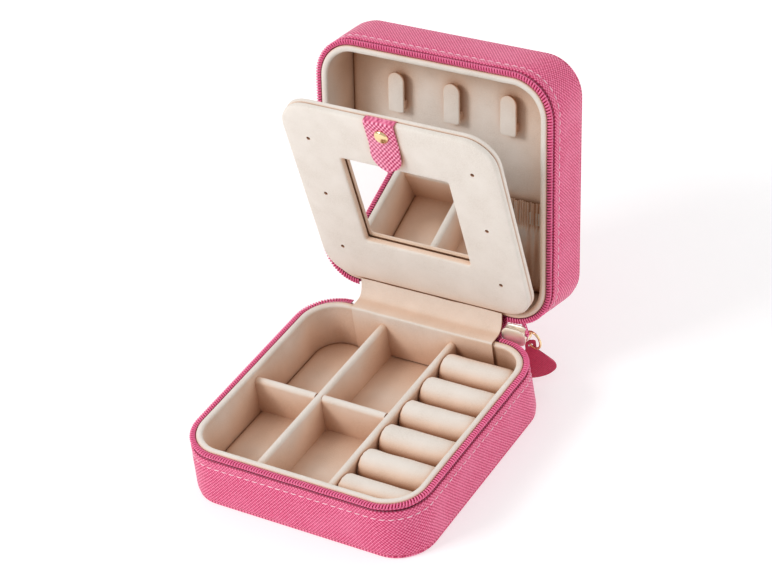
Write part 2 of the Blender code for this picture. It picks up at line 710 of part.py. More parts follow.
def add_bail():
    """Bent bar on the slider's outer plate; the ring passes through it."""
    foot = SLIDER_OUTER_Y + GAP
    outer = (0.0362, 0.0411, 0.0577)
    bar = 0.0008
    low = 0.0226
    high = 0.0242
    outline = [(outer[0], foot), (outer[0], outer[2] - 0.0012), (outer[0] + 0.0012, outer[2])]
    outline += [(outer[1] - 0.0012, outer[2]), (outer[1], outer[2] - 0.0012), (outer[1], foot)]
    outline += [(outer[1] - bar, foot), (outer[1] - bar, outer[2] - bar - 0.0006)]
    outline += [(outer[1] - bar - 0.0006, outer[2] - bar), (outer[0] + bar + 0.0006, outer[2] - bar)]
    outline += [(outer[0] + bar, outer[2] - bar - 0.0006), (outer[0] + bar, foot)]
    sections = [[Vector((x, y, z)) for x, y in outline] for z in (low, high)]
    add_part("slider_bail", sweep(sections, closed=False), GOLD)


def add_ring():
    """Jump ring through the bail, standing at an angle to the rear wall."""
    yaw = math.radians(RING_YAW)
    level = Vector((math.cos(yaw), math.sin(yaw), 0.0))
    normal = Vector((-math.sin(yaw), math.cos(yaw), 0.0))
    sections = []
    for step in range(28):
        angle = 2 * math.pi * step / 28
        outward = level * math.cos(angle) + Vector((0.0, 0.0, math.sin(angle)))
        centre = RING_CENTRE + outward * RING_RADIUS
        sections.append([centre + outward * u * RING_WIRE + normal * v * RING_WIRE
                         for u, v in arc((0.0, 0.0), 1.0, 0, 315, 7)])
    bail_side = RING_CENTRE - level * RING_RADIUS
    add_part("zip_ring", sweep(sections, closed=True), GOLD, origin=bail_side)


def pull_outline():
    """Bell outline of the pull, across and above its hole: narrow neck, broad rounded foot."""
    neck = 0.0021
    broad = 0.0094
    shoulder = (0.0070, -0.0076)
    foot_corner = (0.0072, -0.0134)
    bottom = -0.0156
    right = [(neck - 0.0004, 0.0020), (neck, 0.0016)]
    right += bezier((neck, -0.0015), (neck, -0.0032), (0.0040, -0.0046), shoulder, 5)
    right += bezier(shoulder, (broad, -0.0096), (broad, -0.0120), foot_corner, 6)[1:]
    right += bezier(foot_corner, (0.0058, -0.0148), (0.0028, bottom), (0.0, bottom), 4)[1:]
    left = [(-x, z) for x, z in reversed(right[:-1])]
    return right + left


def add_pull():
    """Leather pull that hangs from the ring through a hole in its neck."""
    yaw = math.radians(PULL_YAW)
    along = Vector((math.cos(yaw), math.sin(yaw), 0.0))
    normal = Vector((-math.sin(yaw), math.cos(yaw), 0.0))

    def place(across, up, depth):
        return along * across + Vector((0.0, 0.0, up)) + normal * (depth - PULL_THICKNESS / 2)

    hole = rounded_outline(-0.0014, 0.0014, -0.0013, 0.0013, 0.0009, 3)
    shape = pierced_plate(pull_outline(), [hole], PULL_THICKNESS, place)
    part = add_part("leather_pull", shape, DARK_LEATHER)
    part.location = PULL_HOLE


add_slider()
add_bail()
add_ring()
add_pull()
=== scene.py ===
import json
import math
import random
from bisect import bisect_left

import bmesh
import bpy
from mathutils import Matrix, Vector, noise


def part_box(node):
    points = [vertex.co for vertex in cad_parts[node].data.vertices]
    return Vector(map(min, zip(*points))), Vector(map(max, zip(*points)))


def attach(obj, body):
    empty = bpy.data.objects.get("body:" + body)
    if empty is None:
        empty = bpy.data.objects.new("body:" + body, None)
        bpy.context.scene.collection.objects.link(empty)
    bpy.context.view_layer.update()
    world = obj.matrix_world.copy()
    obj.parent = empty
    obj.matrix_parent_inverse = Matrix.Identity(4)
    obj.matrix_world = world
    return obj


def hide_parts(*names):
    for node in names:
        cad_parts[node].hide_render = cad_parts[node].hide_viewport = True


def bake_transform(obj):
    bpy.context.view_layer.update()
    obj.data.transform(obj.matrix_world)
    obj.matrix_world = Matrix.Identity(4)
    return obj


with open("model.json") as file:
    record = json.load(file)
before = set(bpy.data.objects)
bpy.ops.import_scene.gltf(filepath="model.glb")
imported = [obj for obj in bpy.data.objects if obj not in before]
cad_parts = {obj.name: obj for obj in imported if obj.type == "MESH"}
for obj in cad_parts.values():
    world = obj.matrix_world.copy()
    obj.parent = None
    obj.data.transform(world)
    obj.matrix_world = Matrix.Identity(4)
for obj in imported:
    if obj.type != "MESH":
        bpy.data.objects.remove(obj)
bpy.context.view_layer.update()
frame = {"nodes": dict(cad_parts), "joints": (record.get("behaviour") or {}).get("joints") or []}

# ---------------------------------------------------------------- sizes, in metres
# The case stands open. Pieces of the lid and of the mirror panel are built where they are in
# the closed case, and then carried to the open position by LID_PLACE and PANEL_PLACE.
WALL_LOW, WALL_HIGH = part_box("base_outer_wall")
HALF_SIDE = (WALL_HIGH.x - WALL_LOW.x) / 2
WALL_TOP = WALL_HIGH.z
LINER_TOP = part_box("base_liner_wall")[1].z
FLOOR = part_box("base_floor_pad")[1].z
COIL_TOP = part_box("base_zip_coil")[1].z
CASE_HEIGHT = 0.050
RIM_RADIUS = 0.0165
FOOT_RADIUS = 0.0147
INNER_INSET = 0.0049
GAP = 0.0003
WOBBLE_SIZE = 0.006

JOINTS = {joint["name"]: joint for joint in frame["joints"]}
LID_HINGE = Vector(JOINTS["lid_hinge"]["pos_m"])
PANEL_HINGE = Vector(JOINTS["panel_hinge"]["pos_m"])
LID_OPEN = -JOINTS["lid_hinge"]["range_deg"][0]
PANEL_LEAN = -JOINTS["panel_hinge"]["range_deg"][0]

LID_PLACE = (Matrix.Translation(LID_HINGE)
             @ Matrix.Rotation(math.radians(-LID_OPEN), 4, "X")
             @ Matrix.Translation(-LID_HINGE))
PANEL_PLACE = (Matrix.Translation(PANEL_HINGE)
               @ Matrix.Rotation(math.radians(PANEL_LEAN - LID_OPEN), 4, "X"))
TURN_OVER = Matrix.Translation((0, 0, CASE_HEIGHT)) @ Matrix.Diagonal((1, 1, -1, 1))
TRAYS = {"base": Matrix.Identity(4), "lid": LID_PLACE @ TURN_OVER}

STITCH_LENGTH = 0.0022
STITCH_PITCH = 0.0033
STITCH_LEVEL = 0.0180
STITCH_HALF_DEPTH = 0.0002
STITCH_HALF_HEIGHT = 0.00022
STITCH_ARCH = 0.00016
STITCH_SEEDS = {"base": 3, "lid": 7}

COIL_PITCH = 0.0011
COIL_WIRE = 0.00035
COIL_INSET = 0.00105
COIL_LEVEL = COIL_TOP - 0.00052
COIL_HALF_WIDTH = 0.00085
COIL_HALF_HEIGHT = 0.0004
COIL_STEPS = 10
ZIP_PAST_CORNER = 0.045      # share of the rear side that the zip still follows
TAIL_START = 74.0            # degrees round the last corner

# the corners in the order in which the zip passes them: sign of x, sign of y, first angle
CORNERS = ((-1, 1, 90), (-1, -1, 180), (1, -1, 270), (1, 1, 0))
CORNER_STEPS = 14
SIDE_STEPS = 16

WHITE = (1.0, 1.0, 1.0)


# ---------------------------------------------------------------- materials
class Surface:
    """Material in the making: its nodes, its coordinates and its main shader."""

    def __init__(self, name, coordinates="Object"):
        self.material = bpy.data.materials.new(name)
        self.material.use_nodes = True
        self.tree = self.material.node_tree
        self.shader = self.tree.nodes["Principled BSDF"]
        self.spot = self.add("ShaderNodeTexCoord", {}).outputs[coordinates]

    def set_inputs(self, node, inputs):
        """Give a node's inputs numbers, colours or other nodes' outputs."""
        for name, value in inputs.items():
            socket = node.inputs[name]
            if isinstance(value, bpy.types.NodeSocket):
                self.tree.links.new(value, socket)
            else:
                socket.default_value = (*value, 1.0) if socket.type == "RGBA" else value

    def add(self, kind, inputs, **settings):
        """New node."""
        node = self.tree.nodes.new(kind)
        for name, value in settings.items():
            setattr(node, name, value)
        self.set_inputs(node, inputs)
        return node

    def scale(self, value, factor, addition=0.0):
        """Value times factor, plus addition."""
        node = self.add("ShaderNodeMath", {0: value, 1: factor, 2: addition},
                        operation="MULTIPLY_ADD")
        return node.outputs[0]

    def blend(self, share, first, second, mode="MIX"):
        """Mix of two colours."""
        node = self.add("ShaderNodeMix", {0: share, 6: first, 7: second},
                        data_type="RGBA", blend_type=mode)
        return node.outputs[2]

    def ramp(self, factor, low, high):
        """Factor stretched so that low becomes 0 and high becomes 1."""
        node = self.add("ShaderNodeMapRange", {0: factor, 1: low, 2: high, 3: 0.0, 4: 1.0})
        return node.outputs[0]

    def stripes(self, turn, pitch, distortion=0.0):
        """Stripes across a turned direction of the surface, one to each pitch in metres."""
        turned = self.add("ShaderNodeMapping",
                          {"Vector": self.spot, "Rotation": (0.0, 0.0, math.radians(turn))})
        wave = self.add("ShaderNodeTexWave",
                        {"Vector": turned.outputs[0], "Scale": math.tau / 20 / pitch,
                         "Distortion": distortion, "Detail": 1.0, "Detail Scale": 1.0},
                        wave_type="BANDS", bands_direction="X", wave_profile="SIN")
        return wave.outputs["Fac"]

    def speckle(self, size, detail=2.0):
        """Noise with features of a size in metres."""
        texture = self.add("ShaderNodeTexNoise",
                           {"Vector": self.spot, "Scale": 1.0 / size, "Detail": detail})
        return texture.outputs["Fac"]

    def paint_hollow_shade(self, colour, distance, deepest, stages):
        """Painted shade: colour darkened and tinted where the ambient occlusion finds a hollow,
        from the deepest tint by stages of openness to the last.
        """
        node = self.add("ShaderNodeAmbientOcclusion", {"Distance": distance}, samples=8)
        shade = deepest
        for low, high, tint in stages:
            shade = self.blend(self.ramp(node.outputs["AO"], low, high), shade, tint)
        return self.blend(1.0, colour, shade, "MULTIPLY")

    def finish(self, colour, height, relief, roughness, others):
        """The material, once colour, bumps, roughness and other inputs reach its shader."""
        bump = self.add("ShaderNodeBump", {"Height": height, "Strength": 1.0, "Distance": relief})
        self.set_inputs(self.shader, {"Base Color": colour, "Normal": bump.outputs[0],
                                      "Roughness": roughness, **others})
        return self.material


def saffiano(name, base, deep, pale, pitch=0.00095):
    """Leather pressed with two crossing sets of fine slanting lines: painted shade in their
    grooves, painted highlight on their ridges, and pale patches of tone at random.
    """
    surface = Surface(name, "UV")
    crossed = surface.scale(surface.stripes(43, pitch), 1.0, surface.stripes(-43, pitch))
    fine = surface.speckle(0.0008, 3.0)
    patches = surface.speckle(0.012)
    height = surface.scale(fine, 0.75, surface.scale(crossed, 0.38))
    # painted shade in the pressed lines' grooves and painted highlight on their ridges
    colour = surface.blend(surface.ramp(height, 0.50, 0.80), deep, base)
    colour = surface.blend(surface.ramp(height, 0.78, 1.10), colour, pale)
    tint = surface.scale(surface.ramp(patches, 0.45, 0.8), 0.25)
    colour = surface.blend(tint, colour, pale)
    return surface.finish(colour, height, 0.00007, surface.scale(patches, 0.15, 0.36),
                          {"Specular IOR Level": 0.28, "Coat Weight": 0.05,
                           "Coat Roughness": 0.3})


def velvet(name, base, fleck, half_shade_tint, deep_shade_tint):
    """Short pile: soft edge glow, fine flecks, brushed patches, and painted warm shade in its
    hollows.
    """
    surface = Surface(name)
    pile = surface.speckle(0.00035, 4.0)
    brushed = surface.speckle(0.009, 3.0)
    colour = surface.blend(surface.ramp(pile, 0.25, 0.7), fleck, base)
    colour = surface.blend(surface.ramp(brushed, 0.35, 0.7), colour, base)
    # painted shade: warm brown darkening in hollows and corners, from the ambient occlusion
    colour = surface.paint_hollow_shade(colour, 0.022, deep_shade_tint, ((0.18, 0.60, half_shade_tint), (0.62, 0.95, WHITE)))
    return surface.finish(colour, pile, 0.00012, 0.92,
                          {"Specular IOR Level": 0.15, "Sheen Weight": 0.25,
                           "Sheen Roughness": 0.45, "Sheen Tint": (1.0, 0.95, 0.88)})


def knit(name, base, deep, pale, groove):
    """Zip tape: ribs along it, each a row of small loops, with painted shade in its grooves and
    painted highlight on its loops.
    """
    surface = Surface(name, "UV")
    loops = surface.scale(surface.stripes(20, 0.0011), 1.0, surface.stripes(90, 0.0012))
    height = surface.scale(surface.speckle(0.0005, 3.0), 0.5, surface.scale(loops, 0.5))
    # painted shade low in the relief and painted highlight on its tops
    colour = surface.blend(surface.ramp(height, 0.35, 0.80), deep, base)
    colour = surface.blend(surface.ramp(height, 0.85, 1.20), colour, pale)
    # painted shade in the tape's grooves, from the ambient occlusion
    colour = surface.paint_hollow_shade(colour, 0.0012, groove, ((0.30, 0.70, WHITE),))
    return surface.finish(colour, height, 0.00022, 0.75, {"Sheen Weight": 0.2})


def plain(name, base, deep, grain_size, relief, roughness, metallic=0.0, glow=0.0):
    """Surface with fine grain, patches of wear and a slightly uneven gloss."""
    surface = Surface(name)
    grain = surface.speckle(grain_size, 4.0)
    wear = surface.speckle(grain_size * 12)
    colour = surface.blend(surface.ramp(grain, 0.3, 0.7), deep, base)
    colour = surface.blend(surface.ramp(wear, 0.5, 0.8), colour, base)
    return surface.finish(colour, grain, relief,
                          surface.scale(wear, roughness * 0.5, roughness * 0.75),
                          {"Metallic": metallic, "Emission Color": WHITE,
                           "Emission Strength": glow})


def ribbed(name, base, deep, pitch):
    """Covered elastic: fine ribs across the band."""
    surface = Surface(name)
    ribs = surface.stripes(0, pitch, 0.5)
    return surface.finish(surface.blend(ribs, deep, base), ribs, 0.0001, 0.85, {})


# Deep and pale colours of the leathers: painted shade in the grain's grooves and painted highlight
# on its ridges; the pale colour also tints random patches of tone.
PINK = saffiano("pink_saffiano", (0.77, 0.085, 0.215), (0.42, 0.02, 0.09), (0.92, 0.29, 0.46))
TAB_PINK = saffiano("tab_saffiano", (0.84, 0.17, 0.32), (0.36, 0.02, 0.08),
                    (0.95, 0.50, 0.64), 0.0013)
RASPBERRY = saffiano("raspberry_leather", (0.52, 0.028, 0.09), (0.40, 0.016, 0.06),
                     (0.58, 0.05, 0.12), 0.0006)
# The velvet's last two colours are painted shade: the warm tints of its hollows and corners.
VELVET = velvet("cream_velvet", (0.82, 0.76, 0.70), (0.70, 0.63, 0.56), (1.0, 0.78, 0.64),
                (0.53, 0.25, 0.125))
# The tape's deep and pale colours are painted shade and painted highlight of its loops; the last
# colour is the painted shade of its grooves.
KNIT = knit("pink_zip_knit", (0.86, 0.085, 0.26), (0.36, 0.010, 0.07), (0.95, 0.42, 0.58),
            (0.22, 0.04, 0.10))
NYLON = plain("pink_nylon_coil", (0.93, 0.19, 0.38), (0.84, 0.12, 0.29), 0.0006, 0.00001, 0.35)
CORD = plain("coil_cord", (0.45, 0.02, 0.09), (0.30, 0.01, 0.05), 0.0005, 0.00006, 0.8)
THREAD = plain("pale_thread", (0.95, 0.66, 0.74), (0.86, 0.45, 0.56), 0.0004, 0.00006, 0.6)
GOLD = plain("gold_plate", (0.93, 0.72, 0.42), (0.88, 0.64, 0.34), 0.0015, 0.000004, 0.14, 1.0)
# Painted highlight: the slider's gold is made nearly white to stand in for its bright reflection.
HIGHLIGHT_PALE_GOLD = plain("slider_plate", (1.0, 0.95, 0.86), (0.98, 0.92, 0.80), 0.0015, 0.000004,
                    0.50, 1.0)
GLASS = plain("mirror_silver", (0.93, 0.93, 0.92), (0.91, 0.91, 0.90), 0.02, 0.0, 0.02, 1.0)
CARD = plain("grey_board", (0.36, 0.33, 0.29), (0.26, 0.23, 0.20), 0.0008, 0.00005, 0.9)
# Painted shade: a dark brown board standing for the shaded seam between the panel's layers.
SEAM_SHADE = plain("shaded_board", (0.22, 0.14, 0.09), (0.16, 0.10, 0.06), 0.0008, 0.00005, 0.9)
PAPER = plain("pale_paper", (0.62, 0.62, 0.62), (0.61, 0.61, 0.61), 0.01, 0.0, 0.9, glow=0.48)
RIBBED = ribbed("cream_elastic", (0.75, 0.68, 0.58), (0.60, 0.52, 0.43), 0.0008)


# ---------------------------------------------------------------- making meshes
def distances(points):
    """Distance along a row of points, from its first one."""
    total = [0.0]
    for before, after in zip(points, points[1:]):
        total.append(total[-1] + (after - before).length)
    return total


def point_along(line, total, distance):
    """Point at a distance along a line of points, and the line's direction there."""
    index = min(max(bisect_left(total, distance) - 1, 0), len(line) - 2)
    share = (distance - total[index]) / (total[index + 1] - total[index])
    return (line[index].lerp(line[index + 1], share),
            (line[index + 1] - line[index]).normalized())


def neighbours(points, index):
    """The points before and after one in a row; at the row's ends, the end itself."""
    return points[max(index - 1, 0)], points[min(index + 1, len(points) - 1)]


def faces_outwards(mesh):
    """Turn every face outwards."""
    shape = bmesh.new()
    shape.from_mesh(mesh)
    bmesh.ops.recalc_face_normals(shape, faces=shape.faces)
    if shape.calc_volume(signed=True) < 0.0:
        bmesh.ops.reverse_faces(shape, faces=shape.faces)
    shape.to_mesh(mesh)
    shape.free()


def add_to_scene(name, data):
    """New object of the scene."""
    item = bpy.data.objects.new(name, data)
    bpy.context.scene.collection.objects.link(item)
    return item


def finish_piece(name, mesh, material, body, node, sharp=50.0):
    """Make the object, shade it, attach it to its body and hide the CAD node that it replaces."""
    faces_outwards(mesh)
    mesh.materials.append(material)
    mesh.shade_smooth()
    mesh.set_sharp_from_angle(angle=math.radians(sharp))
    piece = add_to_scene(name, mesh)
    if body is not None:
        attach(piece, body)
    if node is not None:
        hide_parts(node)
    return piece


def grid_mesh(rows, place=None, around_rows=False, around_columns=True):
    """Mesh over a grid of points, its surface coordinates in metres along rows and columns.

    A tube, closed round its columns and open along its rows, gets a cap at both ends.
    """
    count = len(rows)
    width = len(rows[0])
    along = distances([row[0] for row in rows] + ([rows[0][0]] if around_rows else []))
    across = distances(list(rows[0]) + ([rows[0][0]] if around_columns else []))
    faces = []
    uvs = []
    for i in range(count if around_rows else count - 1):
        for j in range(width if around_columns else width - 1):
            next_i = (i + 1) % count
            next_j = (j + 1) % width
            faces.append((i * width + j, next_i * width + j,
                          next_i * width + next_j, i * width + next_j))
            uvs += [(along[i], across[j]), (along[i + 1], across[j]),
                    (along[i + 1], across[j + 1]), (along[i], across[j + 1])]
    if around_columns and not around_rows:
        for row in (0, count - 1):
            faces.append([row * width + j for j in range(width)])
            middle = sum(rows[row], Vector()) / width
            uvs += [((p - middle).x, (p - middle).y + (p - middle).z) for p in rows[row]]
    mesh = bpy.data.meshes.new("grid")
    mesh.from_pydata([point for row in rows for point in row], [], faces)
    layer = mesh.uv_layers.new(name="surface")
    layer.data.foreach_set("uv", [value for uv in uvs for value in uv])
    if place is not None:
        mesh.transform(place)
    return mesh


def join_meshes(meshes):
    """One mesh out of several."""
    shape = bmesh.new()
    for mesh in meshes:
        shape.from_mesh(mesh)
        bpy.data.meshes.remove(mesh)
    joined = bpy.data.meshes.new("joined")
    shape.to_mesh(joined)
    shape.free()
    return joined


def lay_uv_flat(mesh, axes=(0, 1)):
    """Surface coordinates straight from two of the point coordinates, for flat pieces."""
    layer = mesh.uv_layers.active
    for loop in mesh.loops:
        point = mesh.vertices[loop.vertex_index].co
        layer.data[loop.index].uv = (point[axes[0]], point[axes[1]])


def arc(centre, radius, first, last, steps):
    """Points of an arc in a plane, angles in degrees."""
    points = []
    for step in range(steps + 1):
        angle = math.radians(first + (last - first) * step / steps)
        points.append((centre[0] + radius * math.cos(angle), centre[1] + radius * math.sin(angle)))
    return points


def ring_round(centre, side, up, count):
    """Ring of points round a centre; side and up are its half axes."""
    return [centre + side * u + up * v
            for u, v in arc((0.0, 0.0), 1.0, 0, 360 - 360 / count, count - 1)]


def rounded_outline(left, right, low, high, radius, steps=8):
    """Outline of a rectangle with round corners, anticlockwise."""
    points = []
    for x, y, start in ((right - radius, high - radius, 0), (left + radius, high - radius, 90),
                        (left + radius, low + radius, 180), (right - radius, low + radius, 270)):
        points += arc((x, y), radius, start, start + 90, steps)
    return points


def bezier(start, start_pull, end_pull, end, steps):
    """Points of a cubic curve in a plane."""
    points = []
    for step in range(steps + 1):
        t = step / steps
        weights = ((1 - t) ** 3, 3 * t * (1 - t) ** 2, 3 * t * t * (1 - t), t ** 3)
        corners = (start, start_pull, end_pull, end)
        points.append(tuple(sum(w * c[axis] for w, c in zip(weights, corners)) for axis in (0, 1)))
    return points


def ripple(point, size, seed=0.0):
    """Smooth noise between -1 and 1 with features of a size in metres."""
    return noise.noise((point + Vector((seed, seed, seed))) / size)


# ---------------------------------------------------------------- the case's rounded square plan
def corner_point(sign_x, sign_y, angle, inset, z):
    """Point of the plan in a corner, set in from the outside."""
    share = min(max(z / WALL_TOP, 0.0), 1.0)
    radius = FOOT_RADIUS + (RIM_RADIUS - FOOT_RADIUS) * share
    centre = HALF_SIDE - radius
    reach = radius - inset
    return Vector((sign_x * centre + reach * math.cos(angle),
                   sign_y * centre + reach * math.sin(angle), z))


def plan_point(station, inset, z):
    """Point of the plan at a station, which lies between two corner directions."""
    first, second, share = station
    return corner_point(*first, inset, z).lerp(corner_point(*second, inset, z), share)


def corner_stations(corner, turn=90.0):
    """Stations round one corner, from its first angle."""
    sign_x, sign_y, start = corner
    directions = [(sign_x, sign_y, math.radians(start + turn * step / CORNER_STEPS))
                  for step in range(CORNER_STEPS + 1)]
    return [(direction, direction, 0.0) for direction in directions]


def side_stations(before, after):
    """Stations along the straight side between two stations, without its ends."""
    return [(before[0], after[0], step / SIDE_STEPS) for step in range(1, SIDE_STEPS)]


def front_and_sides():
    """Stations from the rear left corner round the front to the rear right one."""
    stations = corner_stations(CORNERS[0])
    for corner in CORNERS[1:]:
        following = corner_stations(corner)
        stations += side_stations(stations[-1], following[0]) + following
    return stations


OPEN_RUN = front_and_sides()
WHOLE_PLAN = OPEN_RUN + side_stations(OPEN_RUN[-1], OPEN_RUN[0])
ZIP_RUN = OPEN_RUN + [(OPEN_RUN[-1][0], OPEN_RUN[0][0], ZIP_PAST_CORNER)]


def band(profile, stations, place, closed, wobble=0.0):
    """Mesh of an (inset, z) profile swept along the plan; wobble makes soft edges uneven."""
    rows = []
    for station in stations:
        row = []
        for inset, z in profile:
            shift = wobble * ripple(plan_point(station, inset, z), WOBBLE_SIZE)
            row.append(plan_point(station, inset + shift, z + shift * 0.7))
        rows.append(row)
    return grid_mesh(rows, place, around_rows=closed)


# ---------------------------------------------------------------- trays: leather and stitching
def add_leather_wall(body, place):
    """Leather wall with a turned top edge, a stitch channel and a seam at its foot."""
    top = WALL_TOP
    profile = [(0.0007, 0.0012), (0.0007, top - 0.0003), (0.0006, top), (0.0004, top + 0.00005)]
    profile += [(0.0002, top - 0.0001), (0.00002, top - 0.0004), (0.0, top - 0.0008)]
    profile += [(0.00005, STITCH_LEVEL + 0.0010), (0.0002, STITCH_LEVEL + 0.0003)]
    profile += [(0.0002, STITCH_LEVEL - 0.0003), (0.00005, STITCH_LEVEL - 0.0009)]
    profile += [(-0.0001, z) for z in (0.0150, 0.0120, 0.0090, 0.0060, 0.0040)]
    profile += [(-0.00005, 0.0026), (0.0001, 0.0018), (0.0005, 0.0014)]
    mesh = band(profile, WHOLE_PLAN, place, True, 0.00006)
    finish_piece(body + "_leather", mesh, PINK, body, body + "_outer_wall")


def add_leather_panel(body, place):
    """Leather panel that closes the tray's outside, its edge turned under the wall's foot."""
    node, crown = {"base": ("base_bottom_panel", 0.0), "lid": ("lid_top_panel", 0.0003)}[body]
    rings = [(0.0014, 0.0016), (0.0007, 0.0013), (0.00035, 0.0009), (0.0004, 0.0004)]
    rings += [(0.0009, 0.0001), (0.0016, 0.0), (0.004, -crown), (0.009, -crown)]
    rings += [(0.0130, -crown * 4 / 3)]
    mesh = grid_mesh([[plan_point(station, inset, z) for station in WHOLE_PLAN]
                      for inset, z in rings])
    lay_uv_flat(mesh)
    mesh.transform(place)
    finish_piece(body + "_leather_panel", mesh, PINK, body, node, 40.0)


def add_stitching(body, place):
    """Row of separate stitches round the wall; each dips into the leather at both ends."""
    outline = [plan_point(station, 0.0, STITCH_LEVEL) for station in WHOLE_PLAN]
    outline.append(outline[0])
    total = distances(outline)
    count = int(total[-1] / STITCH_PITCH)
    pitch = total[-1] / count
    length = STITCH_LENGTH * pitch / STITCH_PITCH
    draw = random.Random(STITCH_SEEDS[body])
    meshes = []
    for number in range(count):
        slant = draw.uniform(0.00002, 0.00012)
        rows = []
        for step in range(7):
            t = step / 6
            distance = number * pitch + length * t
            here = point_along(outline, total, distance)[0]
            ahead = point_along(outline, total, distance + STITCH_HALF_DEPTH)[0]
            along = (ahead - here).normalized()
            outward = Vector((along.y, -along.x, 0.0))
            rise = math.sin(math.pi * t)
            centre = here + outward * (STITCH_ARCH * rise - STITCH_HALF_HEIGHT)
            centre.z += slant * (t - 0.5) * 2
            swell = 0.55 + 0.45 * rise
            rows.append(ring_round(centre, outward * STITCH_HALF_DEPTH * swell,
                                   Vector((0, 0, STITCH_HALF_HEIGHT)) * swell, 8))
        meshes.append(grid_mesh(rows))
    mesh = join_meshes(meshes)
    mesh.transform(place)
    finish_piece(body + "_stitching", mesh, THREAD, body, None)


# ---------------------------------------------------------------- trays: zip
def add_zip_tape(body, place):
    """Knitted tape: a roll behind a groove along the leather's edge, flat over the wall board."""
    low = WALL_TOP - 0.0002
    profile = [(0.0033, low - 0.0001), (0.0008, low - 0.0001), (0.0008, low)]
    profile += [(0.0020, low + 0.0001), (0.0019, low + 0.0009), (0.0010, low + 0.0010)]
    profile += [(0.0007, low + 0.0011), (0.0006, low + 0.0013)]
    profile += [(0.0006, low + 0.0016), (0.0008, low + 0.0019), (0.0012, low + 0.0020)]
    profile += [(0.0018, low + 0.0019), (0.0021, low + 0.0016), (0.0022, low + 0.0010)]
    profile += [(0.0033, low + 0.0009)]
    mesh = band(profile, ZIP_RUN, place, False, 0.00008)
    finish_piece(body + "_zip_knit", mesh, KNIT, body, body + "_zip_tape")


def add_zip_coil(body, place):
    """Nylon wire wound in one long oval coil along the tape, with a cord inside it."""
    line = [plan_point(station, COIL_INSET, COIL_LEVEL) for station in ZIP_RUN]
    total = distances(line)
    upward = Vector((0, 0, COIL_HALF_HEIGHT))
    rows = []
    for step in range(int(total[-1] / COIL_PITCH) * COIL_STEPS + 1):
        distance = min(step * COIL_PITCH / COIL_STEPS, total[-1] - 1e-6)
        centre, along = point_along(line, total, distance)
        outward = Vector((along.y, -along.x, 0.0)) * COIL_HALF_WIDTH
        angle = math.tau * step / COIL_STEPS
        radial = outward * math.cos(angle) + upward * math.sin(angle)
        wire = (along * COIL_PITCH / math.tau - outward * math.sin(angle)
                + upward * math.cos(angle)).normalized()
        side = wire.cross(radial).normalized() * COIL_WIRE
        rows.append(ring_round(centre + radial, side, side.cross(wire), 5))
    mesh = grid_mesh(rows, place)
    finish_piece(body + "_coil_wire", mesh, NYLON, body, body + "_zip_coil", 80.0)
    profile = [(COIL_INSET + u * 0.0005, COIL_LEVEL + v * 0.0002)
               for u, v in arc((0, 0), 1.0, 0, 315, 7)]
    cord = band(profile, ZIP_RUN, place, False)
    finish_piece(body + "_coil_cord", cord, CORD, body, None)


# ---------------------------------------------------------------- trays: velvet
def add_liner(body, place):
    """Velvet-covered inner wall with a soft rolled rim."""
    outer = 0.00365
    inner = INNER_INSET - GAP
    rim_low = 0.0222
    rim_centre = (0.0036, 0.0232)
    rim_half_width = 0.0013
    rim_half_height = 0.0010
    profile = [(outer, 0.0039), (outer, rim_low), (0.0024, rim_low)]
    profile += [(rim_centre[0] + rim_half_width * u, rim_centre[1] + rim_half_height * v)
                for u, v in arc((0, 0), 1.0, 190, 0, 10)]
    profile += [(0.00485, 0.0226), (inner + 0.0001, 0.0219), (inner, 0.0205), (inner, 0.0150)]
    profile += [(inner - 0.0001, 0.0100), (inner, 0.0060), (inner, 0.0039)]
    mesh = band(profile, WHOLE_PLAN, place, True, 0.00010)
    finish_piece(body + "_velvet_liner", mesh, VELVET, body, body + "_liner_wall")


def add_pad(body, place):
    """Thin velvet pad on the tray's floor, its edge rolled down against the inner wall."""
    name, node = {"base": ("base_floor_velvet", "base_floor_pad"),
                  "lid": ("lid_back_velvet", "lid_back_pad")}[body]
    crown = FLOOR + 0.0001
    unevenness = 0.0001
    rings = [(0.0003, 0.0039), (0.0, 0.0043), (0.0, 0.0049), (0.0003, FLOOR - 0.0002)]
    rings += [(0.0009, FLOOR), (0.002, crown), (0.004, crown), (0.0065, crown), (0.0088, crown)]
    rows = [[plan_point(station, INNER_INSET + extra, z) for station in WHOLE_PLAN]
            for extra, z in rings]
    rows += [[Vector((point.x * scale, point.y * scale, crown)) for point in rows[-1]]
             for scale in (0.75, 0.5, 0.25, 0.05)]
    rows = [[point + Vector((0, 0, unevenness * ripple(point, 0.010))) for point in row]
            for row in rows]
    piece = finish_piece(name, grid_mesh(rows, place), VELVET, body, node)


for tray in TRAYS.items():
    add_leather_wall(*tray)
    add_leather_panel(*tray)
    add_stitching(*tray)
    add_zip_tape(*tray)
    add_zip_coil(*tray)
    add_liner(*tray)
    add_pad(*tray)


# ---------------------------------------------------------------- lower tray: dividers and rolls
def inner_wall_x(y, inset=INNER_INSET):
    """Where the inner wall is on the right-hand side, at a distance from front to back."""
    centre = HALF_SIDE - RIM_RADIUS
    radius = RIM_RADIUS - inset - GAP
    beyond = min(max(abs(y) - centre, 0.0), radius)
    return centre + math.sqrt(radius ** 2 - beyond ** 2)


